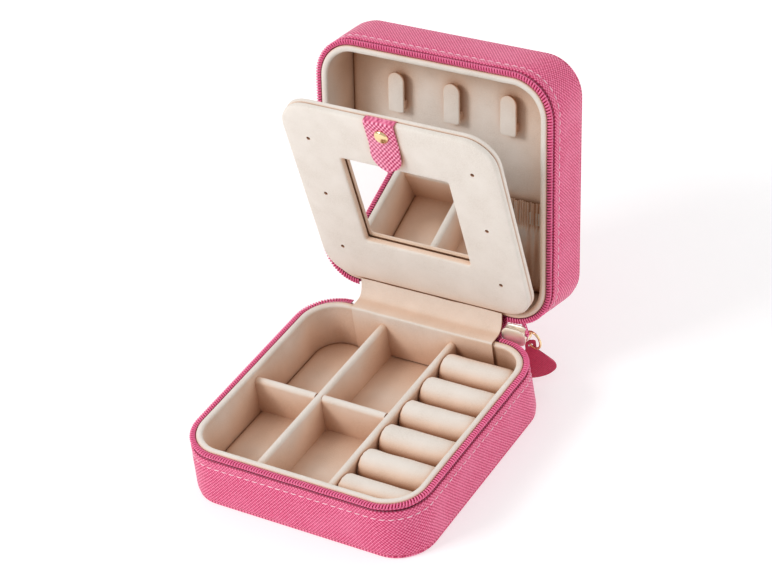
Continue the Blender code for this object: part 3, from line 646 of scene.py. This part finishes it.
def add_divider(name, along_y):
    """Velvet-covered divider board with a rounded top."""
    low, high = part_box(name)
    across_axis = 0 if along_y else 1
    along_axis = 1 - across_axis
    middle = (low[across_axis] + high[across_axis]) / 2
    half = (high[across_axis] - low[across_axis]) / 2
    start, end = low[along_axis] - GAP, high[along_axis] + GAP
    foot = low.z - GAP
    unevenness = 0.00012
    profile = [(half, foot), (half - 0.0001, foot + 0.006)]
    profile += arc((0.0, high.z - half), half, 0, 180, 12)
    profile += [(0.0001 - half, foot + 0.006), (-half, foot)]
    rows = []
    steps = max(2, int((end - start) / 0.003))
    for step in range(steps + 1):
        spot = Vector()
        spot[along_axis] = start + (end - start) * step / steps
        row = []
        for across, z in profile:
            spot[across_axis] = middle + across
            spot.z = z
            shift = unevenness * ripple(spot, 0.008)
            row.append(spot + Vector((shift, shift, shift)))
        rows.append(row)
    finish_piece(name + "_velvet", grid_mesh(rows), VELVET, "base", name)


def add_ring_roll(number):
    """Foam roll in velvet: round top, gathered ends, pressed between divider and wall."""
    node = "ring_roll_%d" % number
    low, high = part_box(node)
    centre_y = (low.y + high.y) / 2
    radius = (high.y - low.y) / 2 + 0.0002
    axis_z = high.z - radius + 0.0002
    foot = low.z - GAP
    left = low.x - 0.0001
    edge = 0.0017
    swelling = 0.00022
    puckering = 0.00012
    pucker_length = 0.0022
    outline = [(radius, foot), (radius, (foot + axis_z) / 2)]
    outline += arc((0.0, axis_z), radius, 0, 180, 20)
    outline += [(-radius, (foot + axis_z) / 2), (-radius, foot)]
    rows = []
    for share in (0.0, 0.006, 0.015, 0.03, 0.05, 0.08, 0.12, 0.18, 0.26, 0.36, 0.48, 0.60, 0.72,
                  0.82, 0.90, 0.95, 0.98, 1.0):
        row = []
        for index, (across, z) in enumerate(outline):
            right = inner_wall_x(centre_y + across)
            x = left + (right - left) * share
            end = max(min(x - left, right - x), 0.0)
            pull = edge - math.sqrt(edge ** 2 - max(edge - end, 0.0) ** 2)
            spot = Vector((x, centre_y + across, z))
            pucker = puckering * math.sin(index * 2.1 + number) * math.exp(-end / pucker_length)
            swell = swelling * ripple(spot, 0.007, number) + pucker
            inward = Vector((0.0, -across, axis_z - max(z, axis_z) + 1e-9)).normalized()
            row.append(spot + inward * (pull - swell))
        rows.append(row)
    piece = finish_piece(node + "_velvet", grid_mesh(rows), VELVET, "base", node, 70.0)


add_divider("long_divider", True)
add_divider("ring_divider", True)
add_divider("cross_divider_left", False)
add_divider("cross_divider_centre", False)
for roll in range(6):
    add_ring_roll(roll + 1)


# ---------------------------------------------------------------- spine, flap and zip tail
def at_rest(y, z):
    """Where a (y, z) point of the closed lid is while the lid stands open."""
    point = LID_PLACE @ Vector((0.0, y, z))
    return (point.y, point.z)


def ribbon(path, thickness, left, right, steps, wave):
    """Mesh of a sheet of even thickness along a (y, z) path, with softly waved edges."""
    sides = ([], [])
    for index, point in enumerate(path):
        before, after = neighbours(path, index)
        along = Vector((after[0] - before[0], after[1] - before[1])).normalized()
        across = Vector((-along.y, along.x)) * thickness / 2
        for side, sign in zip(sides, (1, -1)):
            side.append((point[0] + sign * across.x, point[1] + sign * across.y))
    rows = []
    for step in range(steps + 1):
        x = left + (right - left) * step / steps
        row = []
        for y, z in sides[0] + sides[1][::-1]:
            spot = Vector((x, y, z))
            shift = wave * ripple(spot, 0.009)
            row.append(spot + Vector((0.0, shift, shift)))
        rows.append(row)
    return grid_mesh(rows)


def add_spine():
    """Leather strip that joins the trays behind, built bent for the open lid."""
    low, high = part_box("spine_leather")
    thickness = 0.0008
    middle = HALF_SIDE + GAP + thickness / 2
    start = (middle, 0.0215)
    end = at_rest(middle, 0.0290)
    path = [(middle, 0.0130 + 0.0017 * k) for k in range(5)]
    path += bezier(start, (middle, 0.0240), at_rest(middle, 0.0275), end, 16)
    path += [at_rest(middle, 0.0290 + 0.0016 * k) for k in range(1, 6)]
    mesh = ribbon(path, thickness, low.x, high.x, 24, 0.00008)
    piece = finish_piece("spine_saffiano", mesh, PINK, None, "spine_leather")
    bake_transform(piece)


def add_flap():
    """Velvet strip down the rear wall, over the rim and up to the mirror panel's lower edge."""
    low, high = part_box("velvet_flap")
    thickness = 0.0005
    front = 0.04455
    rim_top = LINER_TOP + GAP + thickness / 2
    path = [(front, FLOOR + GAP + 0.0012 * k) for k in range(15)]
    path += bezier((front, 0.0236), (front, rim_top), (front, rim_top), (0.0456, rim_top), 6)
    path += [(0.0470, rim_top + 0.0001), (0.0483, rim_top + 0.0001)]
    path += bezier((0.0495, rim_top + 0.0002), (0.0518, rim_top + 0.0004), (0.0531, 0.0268),
                   (0.0539, 0.0323), 10)
    mesh = ribbon(path, thickness, low.x, high.x, 40, 0.00014)
    piece = finish_piece("velvet_flap_cloth", mesh, VELVET, None, "velvet_flap")
    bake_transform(piece)


def add_zip_tail():
    """Free end of the lid's zip half, from the rim down to the slider."""
    angle = math.radians(TAIL_START)
    station = corner_stations(CORNERS[3], TAIL_START)[-1]
    along = Vector((-math.sin(angle), math.cos(angle), 0.0))
    rim = plan_point(station, 0.0010, WALL_TOP) + along * 0.0002
    corner = LID_PLACE @ Vector((rim.x, rim.y, CASE_HEIGHT - 0.0226))
    nose = Vector((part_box("slider_body")[1].x + 0.0002, 0.0524, 0.0266))
    middle = corner.lerp(nose, 0.5) + Vector((0.0004, 0.0, -0.0009))
    half_thickness = Vector((0.0008, 0, 0))
    half_width = Vector((0, 0.0005, 0.0011))
    steps = 10
    rows = []
    for step in range(steps + 1):
        t = step / steps
        centre = corner * (1 - t) ** 2 + middle * 2 * t * (1 - t) + nose * t * t
        rows.append(ring_round(centre, half_thickness, half_width, 12))
    piece = finish_piece("lid_zip_tail_knit", grid_mesh(rows), KNIT, None, "lid_zip_tail")
    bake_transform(piece)


add_spine()
add_flap()
add_zip_tail()


# ---------------------------------------------------------------- lid: hooks and pocket
HOOK_SPACING = 0.0240


def add_hook(number):
    """Necklace hook: a velvet tongue, its round tip free, on a small block behind its foot."""
    x = (number - 2) * HOOK_SPACING
    half_width = 0.0034
    thickness = 0.0013
    tip = -0.0340
    foot = -0.0184
    front = 0.0405
    block_length = 0.0040
    block_inset = 0.0008
    block_step = 0.0006
    spans = [(tip + half_width * (1 - math.cos(math.pi / 2 * step / 8)),
              half_width * math.sin(math.pi / 2 * max(step, 0.6) / 8)) for step in range(9)]
    spans += [(tip + 0.0070, half_width), (tip + 0.0110, half_width)]
    spans += [(foot - 0.0006, half_width), (foot - 0.0002, half_width - 0.0001),
              (foot, half_width - 0.0005)]
    sections = []
    for y, half in spans:
        section = rounded_outline(-half, half, 0.0, thickness, min(0.0005, half * 0.9), 4)
        sections.append([Vector((x + u, y, front + v)) for u, v in section])
    outline = rounded_outline(x - half_width + block_inset, x + half_width - block_inset,
                              foot - block_length, foot - 0.0004, 0.0006, 4)
    levels = [front + thickness - 0.0002 + block_step * k for k in range(6)]
    block = grid_mesh([[Vector((u, v, level)) for u, v in outline] for level in levels])
    mesh = join_meshes([grid_mesh(sections), block])
    mesh.transform(LID_PLACE)
    finish_piece("hook_%d_velvet" % number, mesh, VELVET, "lid", "hook_%d" % number)


def fade(value, start, end):
    """Falls smoothly from 1 at start to 0 at end."""
    share = min(max((value - start) / (end - start), 0.0), 1.0)
    return 1.0 - share * share * (3.0 - 2.0 * share)


def add_pocket():
    """Elasticated cloth pocket: gathers run from its hem and fade towards its fixed edge."""
    mouth = 0.0075
    hem = 0.0092
    gather = 0.0012
    gather_height = 0.00042
    fold = 0.0024
    fold_height = 0.0019
    edge_drop = 0.0030
    rear = HALF_SIDE - INNER_INSET - 2 * GAP
    front = 0.0412
    cloth = 0.0005
    depth = CASE_HEIGHT - FLOOR - GAP - cloth - front
    columns = 600
    row_count = 34
    rows = []
    for step in range(row_count + 1):
        y = mouth + (rear - mouth) * (step / row_count) ** 1.3
        half = inner_wall_x(y, INNER_INSET + GAP) - 0.0002
        tight = fade(y - mouth, hem - 0.0015, hem + 0.0030)
        loose = 0.60 + 0.40 * fade(y - mouth, hem, hem + 0.0160)
        pinch = 0.0004 * math.exp(-((y - mouth - hem) / 0.0008) ** 2)
        outside = []
        for column in range(columns + 1):
            x = half * (2.0 * column / columns - 1.0)
            to_wall = min(half - abs(x), rear - y)
            sink = depth * (1 - min(to_wall / edge_drop, 1.0)) ** 2
            drift = ripple(Vector((x, y * 0.2, 0.0)), 0.006)
            folds = math.sin(math.tau * x / gather + 2.0 * drift)
            slow = ripple(Vector((x, y * 0.12, 0.0)), fold, 4.0)
            lift = gather_height * folds * tight + fold_height * slow * loose + pinch
            lift *= min(to_wall / 0.002, 1.0)
            outside.append(Vector((x, y, front + sink + 0.0006 + lift)))
        rows.append(outside + [point + Vector((0, 0.00001, cloth)) for point in outside[::-1]])
    mesh = grid_mesh(rows, LID_PLACE)
    piece = finish_piece("pocket_cloth", mesh, VELVET, "lid", "pocket", 80.0)


for hook in (1, 2, 3):
    add_hook(hook)
add_pocket()


# ---------------------------------------------------------------- mirror panel
# x runs across, "away" is the distance from the panel's hinge, "level" is down towards the
# lower tray when the case is closed, so a negative level is nearer to the viewer of the mirror.
PANEL_HALF_WIDTH = 0.0448
PANEL_NEAR = 0.0016
PANEL_FAR = 0.0894
PANEL_EDGES = (-PANEL_HALF_WIDTH, PANEL_HALF_WIDTH, PANEL_NEAR, PANEL_FAR, 0.0120)
PANEL_FACE = -0.0040
FRONT_BOARD = 0.0022
RECESS = 0.0027
WINDOW = (-0.0225, 0.0225, 0.0243, 0.0663)
HOLE_X = 0.0343
HOLE_RADIUS = 0.0008
HOLE_ROWS = (0.0179, 0.0458, 0.0736)


def panel_point(across, away, level):
    """Point of the panel, before it is placed."""
    return Vector((across, -away, level))


def inset_outline(edges, inset, smallest):
    """Outline of a round-cornered rectangle, moved inwards on every side."""
    left, right, low, high, radius = edges
    return rounded_outline(left + inset, right - inset, low + inset, high - inset,
                           max(radius - inset, smallest))


def ray_outline(outline, steps, centre):
    """Points of an outline in evenly spread directions from a centre inside it."""
    points = []
    for step in range(steps):
        angle = math.tau * (step + 0.5) / steps
        ray = Vector((math.cos(angle), math.sin(angle)))
        best = 0.0
        for (ax, ay), (bx, by) in zip(outline, outline[1:] + outline[:1]):
            edge = Vector((bx - ax, by - ay))
            start = Vector((ax - centre[0], ay - centre[1]))
            cross = ray.x * edge.y - ray.y * edge.x
            if abs(cross) < 1e-12:
                continue
            reach = (start.x * edge.y - start.y * edge.x) / cross
            share = (start.x * ray.y - start.y * ray.x) / cross
            if reach > 0 and -1e-6 <= share <= 1 + 1e-6:
                best = max(best, reach)
        points.append((centre[0] + ray.x * best, centre[1] + ray.y * best))
    return points


def framed_plate(outer, inner, outer_rings, inner_rings, puff):
    """Flat frame through rings of (inset, level) at both outlines, its front softly padded."""
    centre = ((WINDOW[0] + WINDOW[1]) / 2, (WINDOW[2] + WINDOW[3]) / 2)
    directions = 240

    def ring(edges, inset):
        return ray_outline(inset_outline(edges, inset, 0.0003), directions, centre)

    rings = [[panel_point(x, y, level) for x, y in ring(outer, inset)]
             for inset, level in outer_rings]
    front = outer_rings[-1][1]
    back = outer_rings[0][1]
    for share in (0.15, 0.3, 0.5, 0.7, 0.85):
        swollen = []
        for (ax, ay), (bx, by) in zip(ring(outer, outer_rings[-1][0]),
                                      ring(inner, inner_rings[0][0])):
            spot = panel_point(ax + (bx - ax) * share, ay + (by - ay) * share, front)
            spot.z -= puff * math.sin(math.pi * share) + 0.00006 * ripple(spot, 0.012)
            swollen.append(spot)
        rings.append(swollen)
    rings += [[panel_point(x, y, level) for x, y in ring(inner, inset)]
              for inset, level in inner_rings]
    for edges, inset in ((inner, inner_rings[-1][0]), (outer, outer_rings[0][0])):
        rings.append([panel_point(x, y, back) for x, y in ring(edges, inset)])
    return grid_mesh(rings, around_rows=True)


def cut_holes(mesh, spots, radius, low, high):
    """Mesh with round holes cut through it."""
    plugs = [grid_mesh([ring_round(Vector((x, y, z)), Vector((radius, 0, 0)),
                                   Vector((0, radius, 0)), 24) for z in (low, high)])
             for x, y in spots]
    cutter_mesh = join_meshes(plugs)
    faces_outwards(cutter_mesh)
    faces_outwards(mesh)
    cutter = add_to_scene("cutter", cutter_mesh)
    work = add_to_scene("work", mesh)
    modifier = work.modifiers.new("holes", "BOOLEAN")
    modifier.operation = "DIFFERENCE"
    modifier.solver = "EXACT"
    modifier.object = cutter
    view = bpy.context.evaluated_depsgraph_get()
    pierced = bpy.data.meshes.new_from_object(work.evaluated_get(view))
    for item in (cutter, work):
        bpy.data.objects.remove(item)
    return pierced


def add_panel_front():
    """Padded velvet board with the mirror's window and six earring holes."""
    face = PANEL_FACE
    back = face + FRONT_BOARD
    outer_rings = [(0.0002, back), (0.0, back - 0.0005), (0.0001, face + 0.0006),
                   (0.0005, face + 0.0002), (0.0012, face)]
    inner_rings = [(-0.0011, face), (-0.0004, face + 0.0002), (-0.0001, face + 0.0006),
                   (0.0, back)]
    mesh = framed_plate(PANEL_EDGES, (*WINDOW, 0.0006), outer_rings, inner_rings, 0.00022)
    spots = [(side * HOLE_X, -row) for side in (-1, 1) for row in HOLE_ROWS]
    mesh = cut_holes(mesh, spots, HOLE_RADIUS, face - 0.002, back + 0.002)
    mesh.transform(PANEL_PLACE)
    finish_piece("panel_front_velvet", mesh, VELVET, "mirror_panel", "panel_front")


def add_plate(name, edges, rings, material, node, sharp=50.0):
    """Flat plate of the panel through rings of (inset, level)."""
    rows = [[panel_point(x, y, level) for x, y in inset_outline(edges, inset, 0.0002)]
            for inset, level in rings]
    mesh = grid_mesh(rows)
    lay_uv_flat(mesh)
    mesh.transform(PANEL_PLACE)
    finish_piece(name, mesh, material, "mirror_panel", node, sharp)


def add_panel_layers():
    """Mirror, its frame board and the velvet-covered rear board."""
    glass = PANEL_FACE + RECESS
    edges = (WINDOW[0] - 0.001, WINDOW[1] + 0.001, WINDOW[2] - 0.001, WINDOW[3] + 0.001, 0.0005)
    add_plate("mirror_glass_plate", edges,
              [(0.0002, glass), (0.0, glass + 0.0001), (0.0, glass + 0.0005),
               (0.0002, glass + 0.0006)], GLASS, "mirror", 10.0)
    # the core board's dark brown is painted shade of the seam
    add_plate("mirror_core_board", PANEL_EDGES,
              [(0.0026, glass + 0.0007), (0.0025, glass + 0.0008), (0.0026, glass + 0.0009)],
              SEAM_SHADE, "mirror_frame")
    back = glass + 0.0010
    lip = PANEL_FACE + FRONT_BOARD + GAP
    add_plate("panel_rear_velvet", PANEL_EDGES,
              [(0.0100, back), (0.0023, back), (0.0022, lip + 0.0003), (0.0018, lip),
               (0.0006, lip), (0.0001, lip + 0.0003), (-0.0001, lip + 0.0008),
               (-0.0001, 0.0), (0.0002, 0.0003), (0.0009, 0.0005), (0.0100, 0.0005)],
              VELVET, "panel_back")


def add_tab():
    """Leather tab: tucked into the panel's seam, over the front board, its round end lifted."""
    thickness = 0.0008
    tucked = 0.00035
    seam = PANEL_FACE + FRONT_BOARD + tucked
    front = PANEL_FACE - GAP - thickness
    half = 0.0063
    end_centre = 0.0748
    end_lift = 0.0008
    tip_lift = 0.0022
    # the path's stations: distance away, level, half width and thickness
    path = [(PANEL_FAR - 0.0022, seam, half, tucked), (PANEL_FAR - 0.0004, seam, half, tucked)]
    for angle in (15, 40, 65, 90, 115, 140, 165):
        reach = math.sin(math.radians(angle)) * 0.0010
        level = seam + (front - seam) / 2 * (1 - math.cos(math.radians(angle)))
        swell = tucked + (thickness - tucked) * min(angle / 90, 1.0)
        path.append((PANEL_FAR - 0.0002 + reach, level, half, swell))
    path += [(away, front, half, thickness) for away in (0.0888, 0.0860, 0.0820, 0.0795)]
    path.append((0.0768, front - 0.0004, half, thickness))
    path.append((end_centre, front - end_lift, half, thickness))
    for step in range(1, 13):
        angle = math.pi / 2 * step / 12.15
        lift = end_lift + (tip_lift - end_lift) * (step / 12) ** 1.5
        path.append((end_centre - half * 0.92 * math.sin(angle) ** 0.9, front - lift,
                     half * math.cos(angle) ** 0.85, thickness))
    rows = []
    for index, (away, level, reach, depth) in enumerate(path):
        before, after = neighbours(path, index)
        run = Vector((after[0] - before[0], after[1] - before[1])).normalized()
        slant = -0.0006 + 0.0007 * index / len(path)
        section = rounded_outline(-reach, reach, 0.0, depth, min(depth * 0.4, reach * 0.8), 3)
        rows.append([panel_point(slant + u, away + run.y * v, level - run.x * v)
                     for u, v in section])
    mesh = grid_mesh(rows)
    lay_uv_flat(mesh)
    mesh.transform(PANEL_PLACE)
    finish_piece("pull_tab_leather", mesh, TAB_PINK, "mirror_panel", "pull_tab")


def add_rivet():
    """Domed gold cap in front of the tab."""
    away = 0.0839
    radius = 0.0029
    face = PANEL_FACE - 0.0011
    profile = [(radius - 0.0003, face + 0.0002), (radius, face - 0.0001), (radius, face - 0.0004)]
    profile += [(radius * 0.93 * u, face - 0.0005 - 0.0009 * v)
                for u, v in arc((0, 0), 1.0, 10, 80, 7)]
    rows = [ring_round(panel_point(0.0, away, level), Vector((reach, 0, 0)),
                       Vector((0, -reach, 0)), 40) for reach, level in profile]
    mesh = grid_mesh(rows, PANEL_PLACE)
    finish_piece("rivet_cap_gold", mesh, GOLD, "mirror_panel", "rivet_cap")


add_panel_front()
add_panel_layers()
add_tab()
add_rivet()


# ---------------------------------------------------------------- slider, ring and pull
RING_CENTRE = Vector((0.0420, 0.0552, 0.0221))
RING_RADIUS = 0.0036
RING_WIRE = 0.00050
RING_YAW = math.radians(-15.0)
PULL_HOLE = Vector((0.0403, 0.0557, 0.0190))
PULL_YAW = math.radians(30.0)
PULL_THICKNESS = 0.0010


def add_slider():
    """Gold slider: two crowned plates on a post, the zip's halves between them."""
    low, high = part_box("slider_body")
    middle_z = (low.z + high.z) / 2
    centre_x = (low.x + high.x) / 2
    half_x = (high.x - low.x) / 2
    half_z = (high.z - low.z) / 2 - 0.0004
    front_plate = 0.0009
    rear_plate = 0.0012
    meshes = []
    for inner, outer in ((low.y + front_plate, low.y), (high.y - rear_plate, high.y)):
        rows = []
        for inset, share in ((0.0004, 0.0), (0.0, 0.25), (0.0, 0.6), (0.0005, 0.9),
                             (0.0013, 1.0), (0.0026, 1.12)):
            y = inner + (outer - inner) * share
            outline = rounded_outline(-half_x + inset, half_x - inset, -half_z + inset,
                                      half_z - inset, 0.0030 - inset * 0.8)
            rows.append([Vector((centre_x + u * (1.0 - 0.02 * v / half_z), y, middle_z + v))
                         for u, v in outline])
        meshes.append(grid_mesh(rows))
    post = rounded_outline(low.x + 0.0006, high.x - 0.0004, middle_z - 0.0012,
                           middle_z + 0.0012, 0.0009, 4)
    meshes.append(grid_mesh([[Vector((x, y, z)) for x, z in post]
                             for y in (low.y + 0.0006, high.y - 0.0009)]))
    # the slider's near-white colour is painted highlight
    finish_piece("slider_gold", join_meshes(meshes), HIGHLIGHT_PALE_GOLD, "base", "slider_body",
                 60.0)


def tube(path, half_level, half_up, sides, up):
    """Mesh of a round or oval bar along points."""
    rows = []
    for index, point in enumerate(path):
        before, after = neighbours(path, index)
        side = (after - before).normalized().cross(up).normalized()
        rows.append(ring_round(point, side * half_level, up * half_up, sides))
    return grid_mesh(rows)


def add_bail():
    """Bent gold bar on the slider, with rounded shoulders."""
    low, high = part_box("slider_bail")
    bar = 0.00042
    level = (low.z + high.z) / 2
    foot = low.y - 0.0005
    shoulder = 0.0016
    left, right, out = low.x + bar, high.x - bar, high.y - bar
    path = [(left, foot), (left, foot + 0.0008)]
    path += arc((left + shoulder, out - shoulder), shoulder, 180, 90, 6)
    path += arc((right - shoulder, out - shoulder), shoulder, 90, 0, 6)
    path += [(right, foot + 0.0008), (right, foot)]
    mesh = tube([Vector((x, y, level)) for x, y in path], bar, 0.0008, 14, Vector((0, 0, 1)))
    finish_piece("slider_bail_gold", mesh, GOLD, "base", "slider_bail", 60.0)


def yawed(angle):
    """Level direction at an angle from +X, and the level direction square to it."""
    return (Vector((math.cos(angle), math.sin(angle), 0.0)),
            Vector((-math.sin(angle), math.cos(angle), 0.0)))


def add_ring():
    """Gold jump ring through the bail, with the fine cut where its wire ends meet."""
    level, normal = yawed(RING_YAW)
    opening = 35.0
    half_cut = 1.2
    path = [RING_CENTRE + (level * u + Vector((0, 0, v))) * RING_RADIUS
            for u, v in arc((0, 0), 1.0, opening + half_cut, opening + 360 - half_cut, 56)]
    mesh = tube(path, RING_WIRE, RING_WIRE, 10, normal)
    finish_piece("zip_ring_gold", mesh, GOLD, "ring", "zip_ring", 60.0)


def pull_outline():
    """Bell outline of the pull, across and above its hole: narrow neck, broad rounded foot."""
    neck = 0.0021
    broad = 0.0094
    shoulder = (0.0070, -0.0076)
    foot_corner = (0.0072, -0.0134)
    bottom = -0.0156
    right = [(0.0, 0.0021), (0.0012, 0.0020), (neck - 0.0004, 0.0018), (neck, 0.0014)]
    right += bezier((neck, -0.0015), (neck, -0.0032), (0.0040, -0.0046), shoulder, 10)
    right += bezier(shoulder, (broad, -0.0096), (broad, -0.0120), foot_corner, 12)[1:]
    right += bezier(foot_corner, (0.0058, -0.0148), (0.0028, bottom), (0.0, bottom), 8)[1:]
    left = [(-x, z) for x, z in reversed(right[1:-1])]
    return right + left


def add_pull():
    """Leather pull: a plate with softened edges, hanging from the ring by its punched neck."""
    along, normal = yawed(PULL_YAW)
    half = PULL_THICKNESS / 2
    # from the outer edge to the hole: share of the way, and how much of the half thickness
    face = [(0.0, 0.3), (0.012, 0.8), (0.04, 1.0), (0.25, 1.05), (0.5, 1.05), (0.75, 1.0),
            (0.97, 0.9), (1.0, 0.6)]
    levels = [(0.0, -0.3)] + face + [(share, -depth) for share, depth in face[:0:-1]]
    rows = []
    for share, depth in levels:
        row = []
        for x, z in pull_outline():
            angle = math.atan2(z, x)
            across = x + (0.0010 * math.cos(angle) - x) * share
            up = z + (0.0009 * math.sin(angle) - z) * share
            row.append(PULL_HOLE + along * across + Vector((0, 0, up)) + normal * depth * half)
        rows.append(row)
    mesh = grid_mesh(rows, around_rows=True)
    lay_uv_flat(mesh, (0, 2))
    finish_piece("pull_leather", mesh, RASPBERRY, "pull", "leather_pull")


add_slider()
add_bail()
add_ring()
add_pull()


# ---------------------------------------------------------------- CAD pieces that stay in view
def repaint(nodes, material):
    """Give CAD nodes that stay in the visual model their own surface."""
    for name in nodes:
        mesh = frame["nodes"][name].data
        mesh.materials.clear()
        mesh.materials.append(material)


repaint(("base_wall_board", "lid_wall_board", "base_bottom_board", "lid_top_board"), CARD)
repaint(("pocket_elastic",), RIBBED)
repaint(("rivet_washer",), GOLD)


# ---------------------------------------------------------------- floor, light and camera
def add_floor():
    """Pale sweep: a floor that curves up into a backdrop."""
    bend = 0.5
    rear = 0.9
    profile = [(-1.2, 0.0), (rear, 0.0)] + arc((rear, bend), bend, -90, 0, 12)[1:]
    profile.append((rear + bend, 2.2))
    rows = [[Vector((x, y, z - 0.00005)) for y, z in profile] for x in (-2.2, 2.2)]
    mesh = grid_mesh(rows, around_columns=False)
    mesh.materials.append(PAPER)
    mesh.shade_smooth()
    add_to_scene("paper_sweep", mesh)


def add_light(name, place, size, power):
    """Soft square light aimed at the case."""
    light = bpy.data.lights.new(name, "AREA")
    light.size = size
    light.energy = power
    lamp = add_to_scene(name, light)
    lamp.location = place
    aim = Vector((0.0, 0.03, 0.04)) - Vector(place)
    lamp.rotation_euler = aim.to_track_quat("-Z", "Y").to_euler()


def add_camera():
    """Camera at the picture's viewing angle, looking down on the front right corner."""
    azimuth, elevation, roll = (math.radians(a) for a in (36.2424, 35.9625, -8.9587))
    target = Vector((-0.000194, 0.026274, 0.054380))
    distance = 0.89543
    right, ahead = yawed(azimuth)
    back = -ahead * math.cos(elevation) + Vector((0, 0, math.sin(elevation)))
    up = back.cross(right)
    rolled_right = right * math.cos(roll) + up * math.sin(roll)
    rolled_up = -right * math.sin(roll) + up * math.cos(roll)
    data = bpy.data.cameras.new("camera")
    data.lens = 114.56
    data.sensor_width = 36.0
    camera = add_to_scene("camera", data)
    turn = Matrix((rolled_right, rolled_up, back)).transposed().to_4x4()
    camera.matrix_world = Matrix.Translation(target + back * distance) @ turn
    bpy.context.scene.camera = camera


add_floor()
add_light("key_light", (-0.68, -0.82, 0.92), 0.50, 9.5)
add_light("side_fill", (1.10, 0.35, 0.55), 0.9, 2.0)
add_camera()

world = bpy.data.worlds.new("soft_white")
world.use_nodes = True
world.node_tree.nodes["Background"].inputs["Color"].default_value = (*WHITE, 1.0)
world.node_tree.nodes["Background"].inputs["Strength"].default_value = 0.62
bpy.context.scene.world = world
bpy.context.scene.view_settings.view_transform = "Standard"
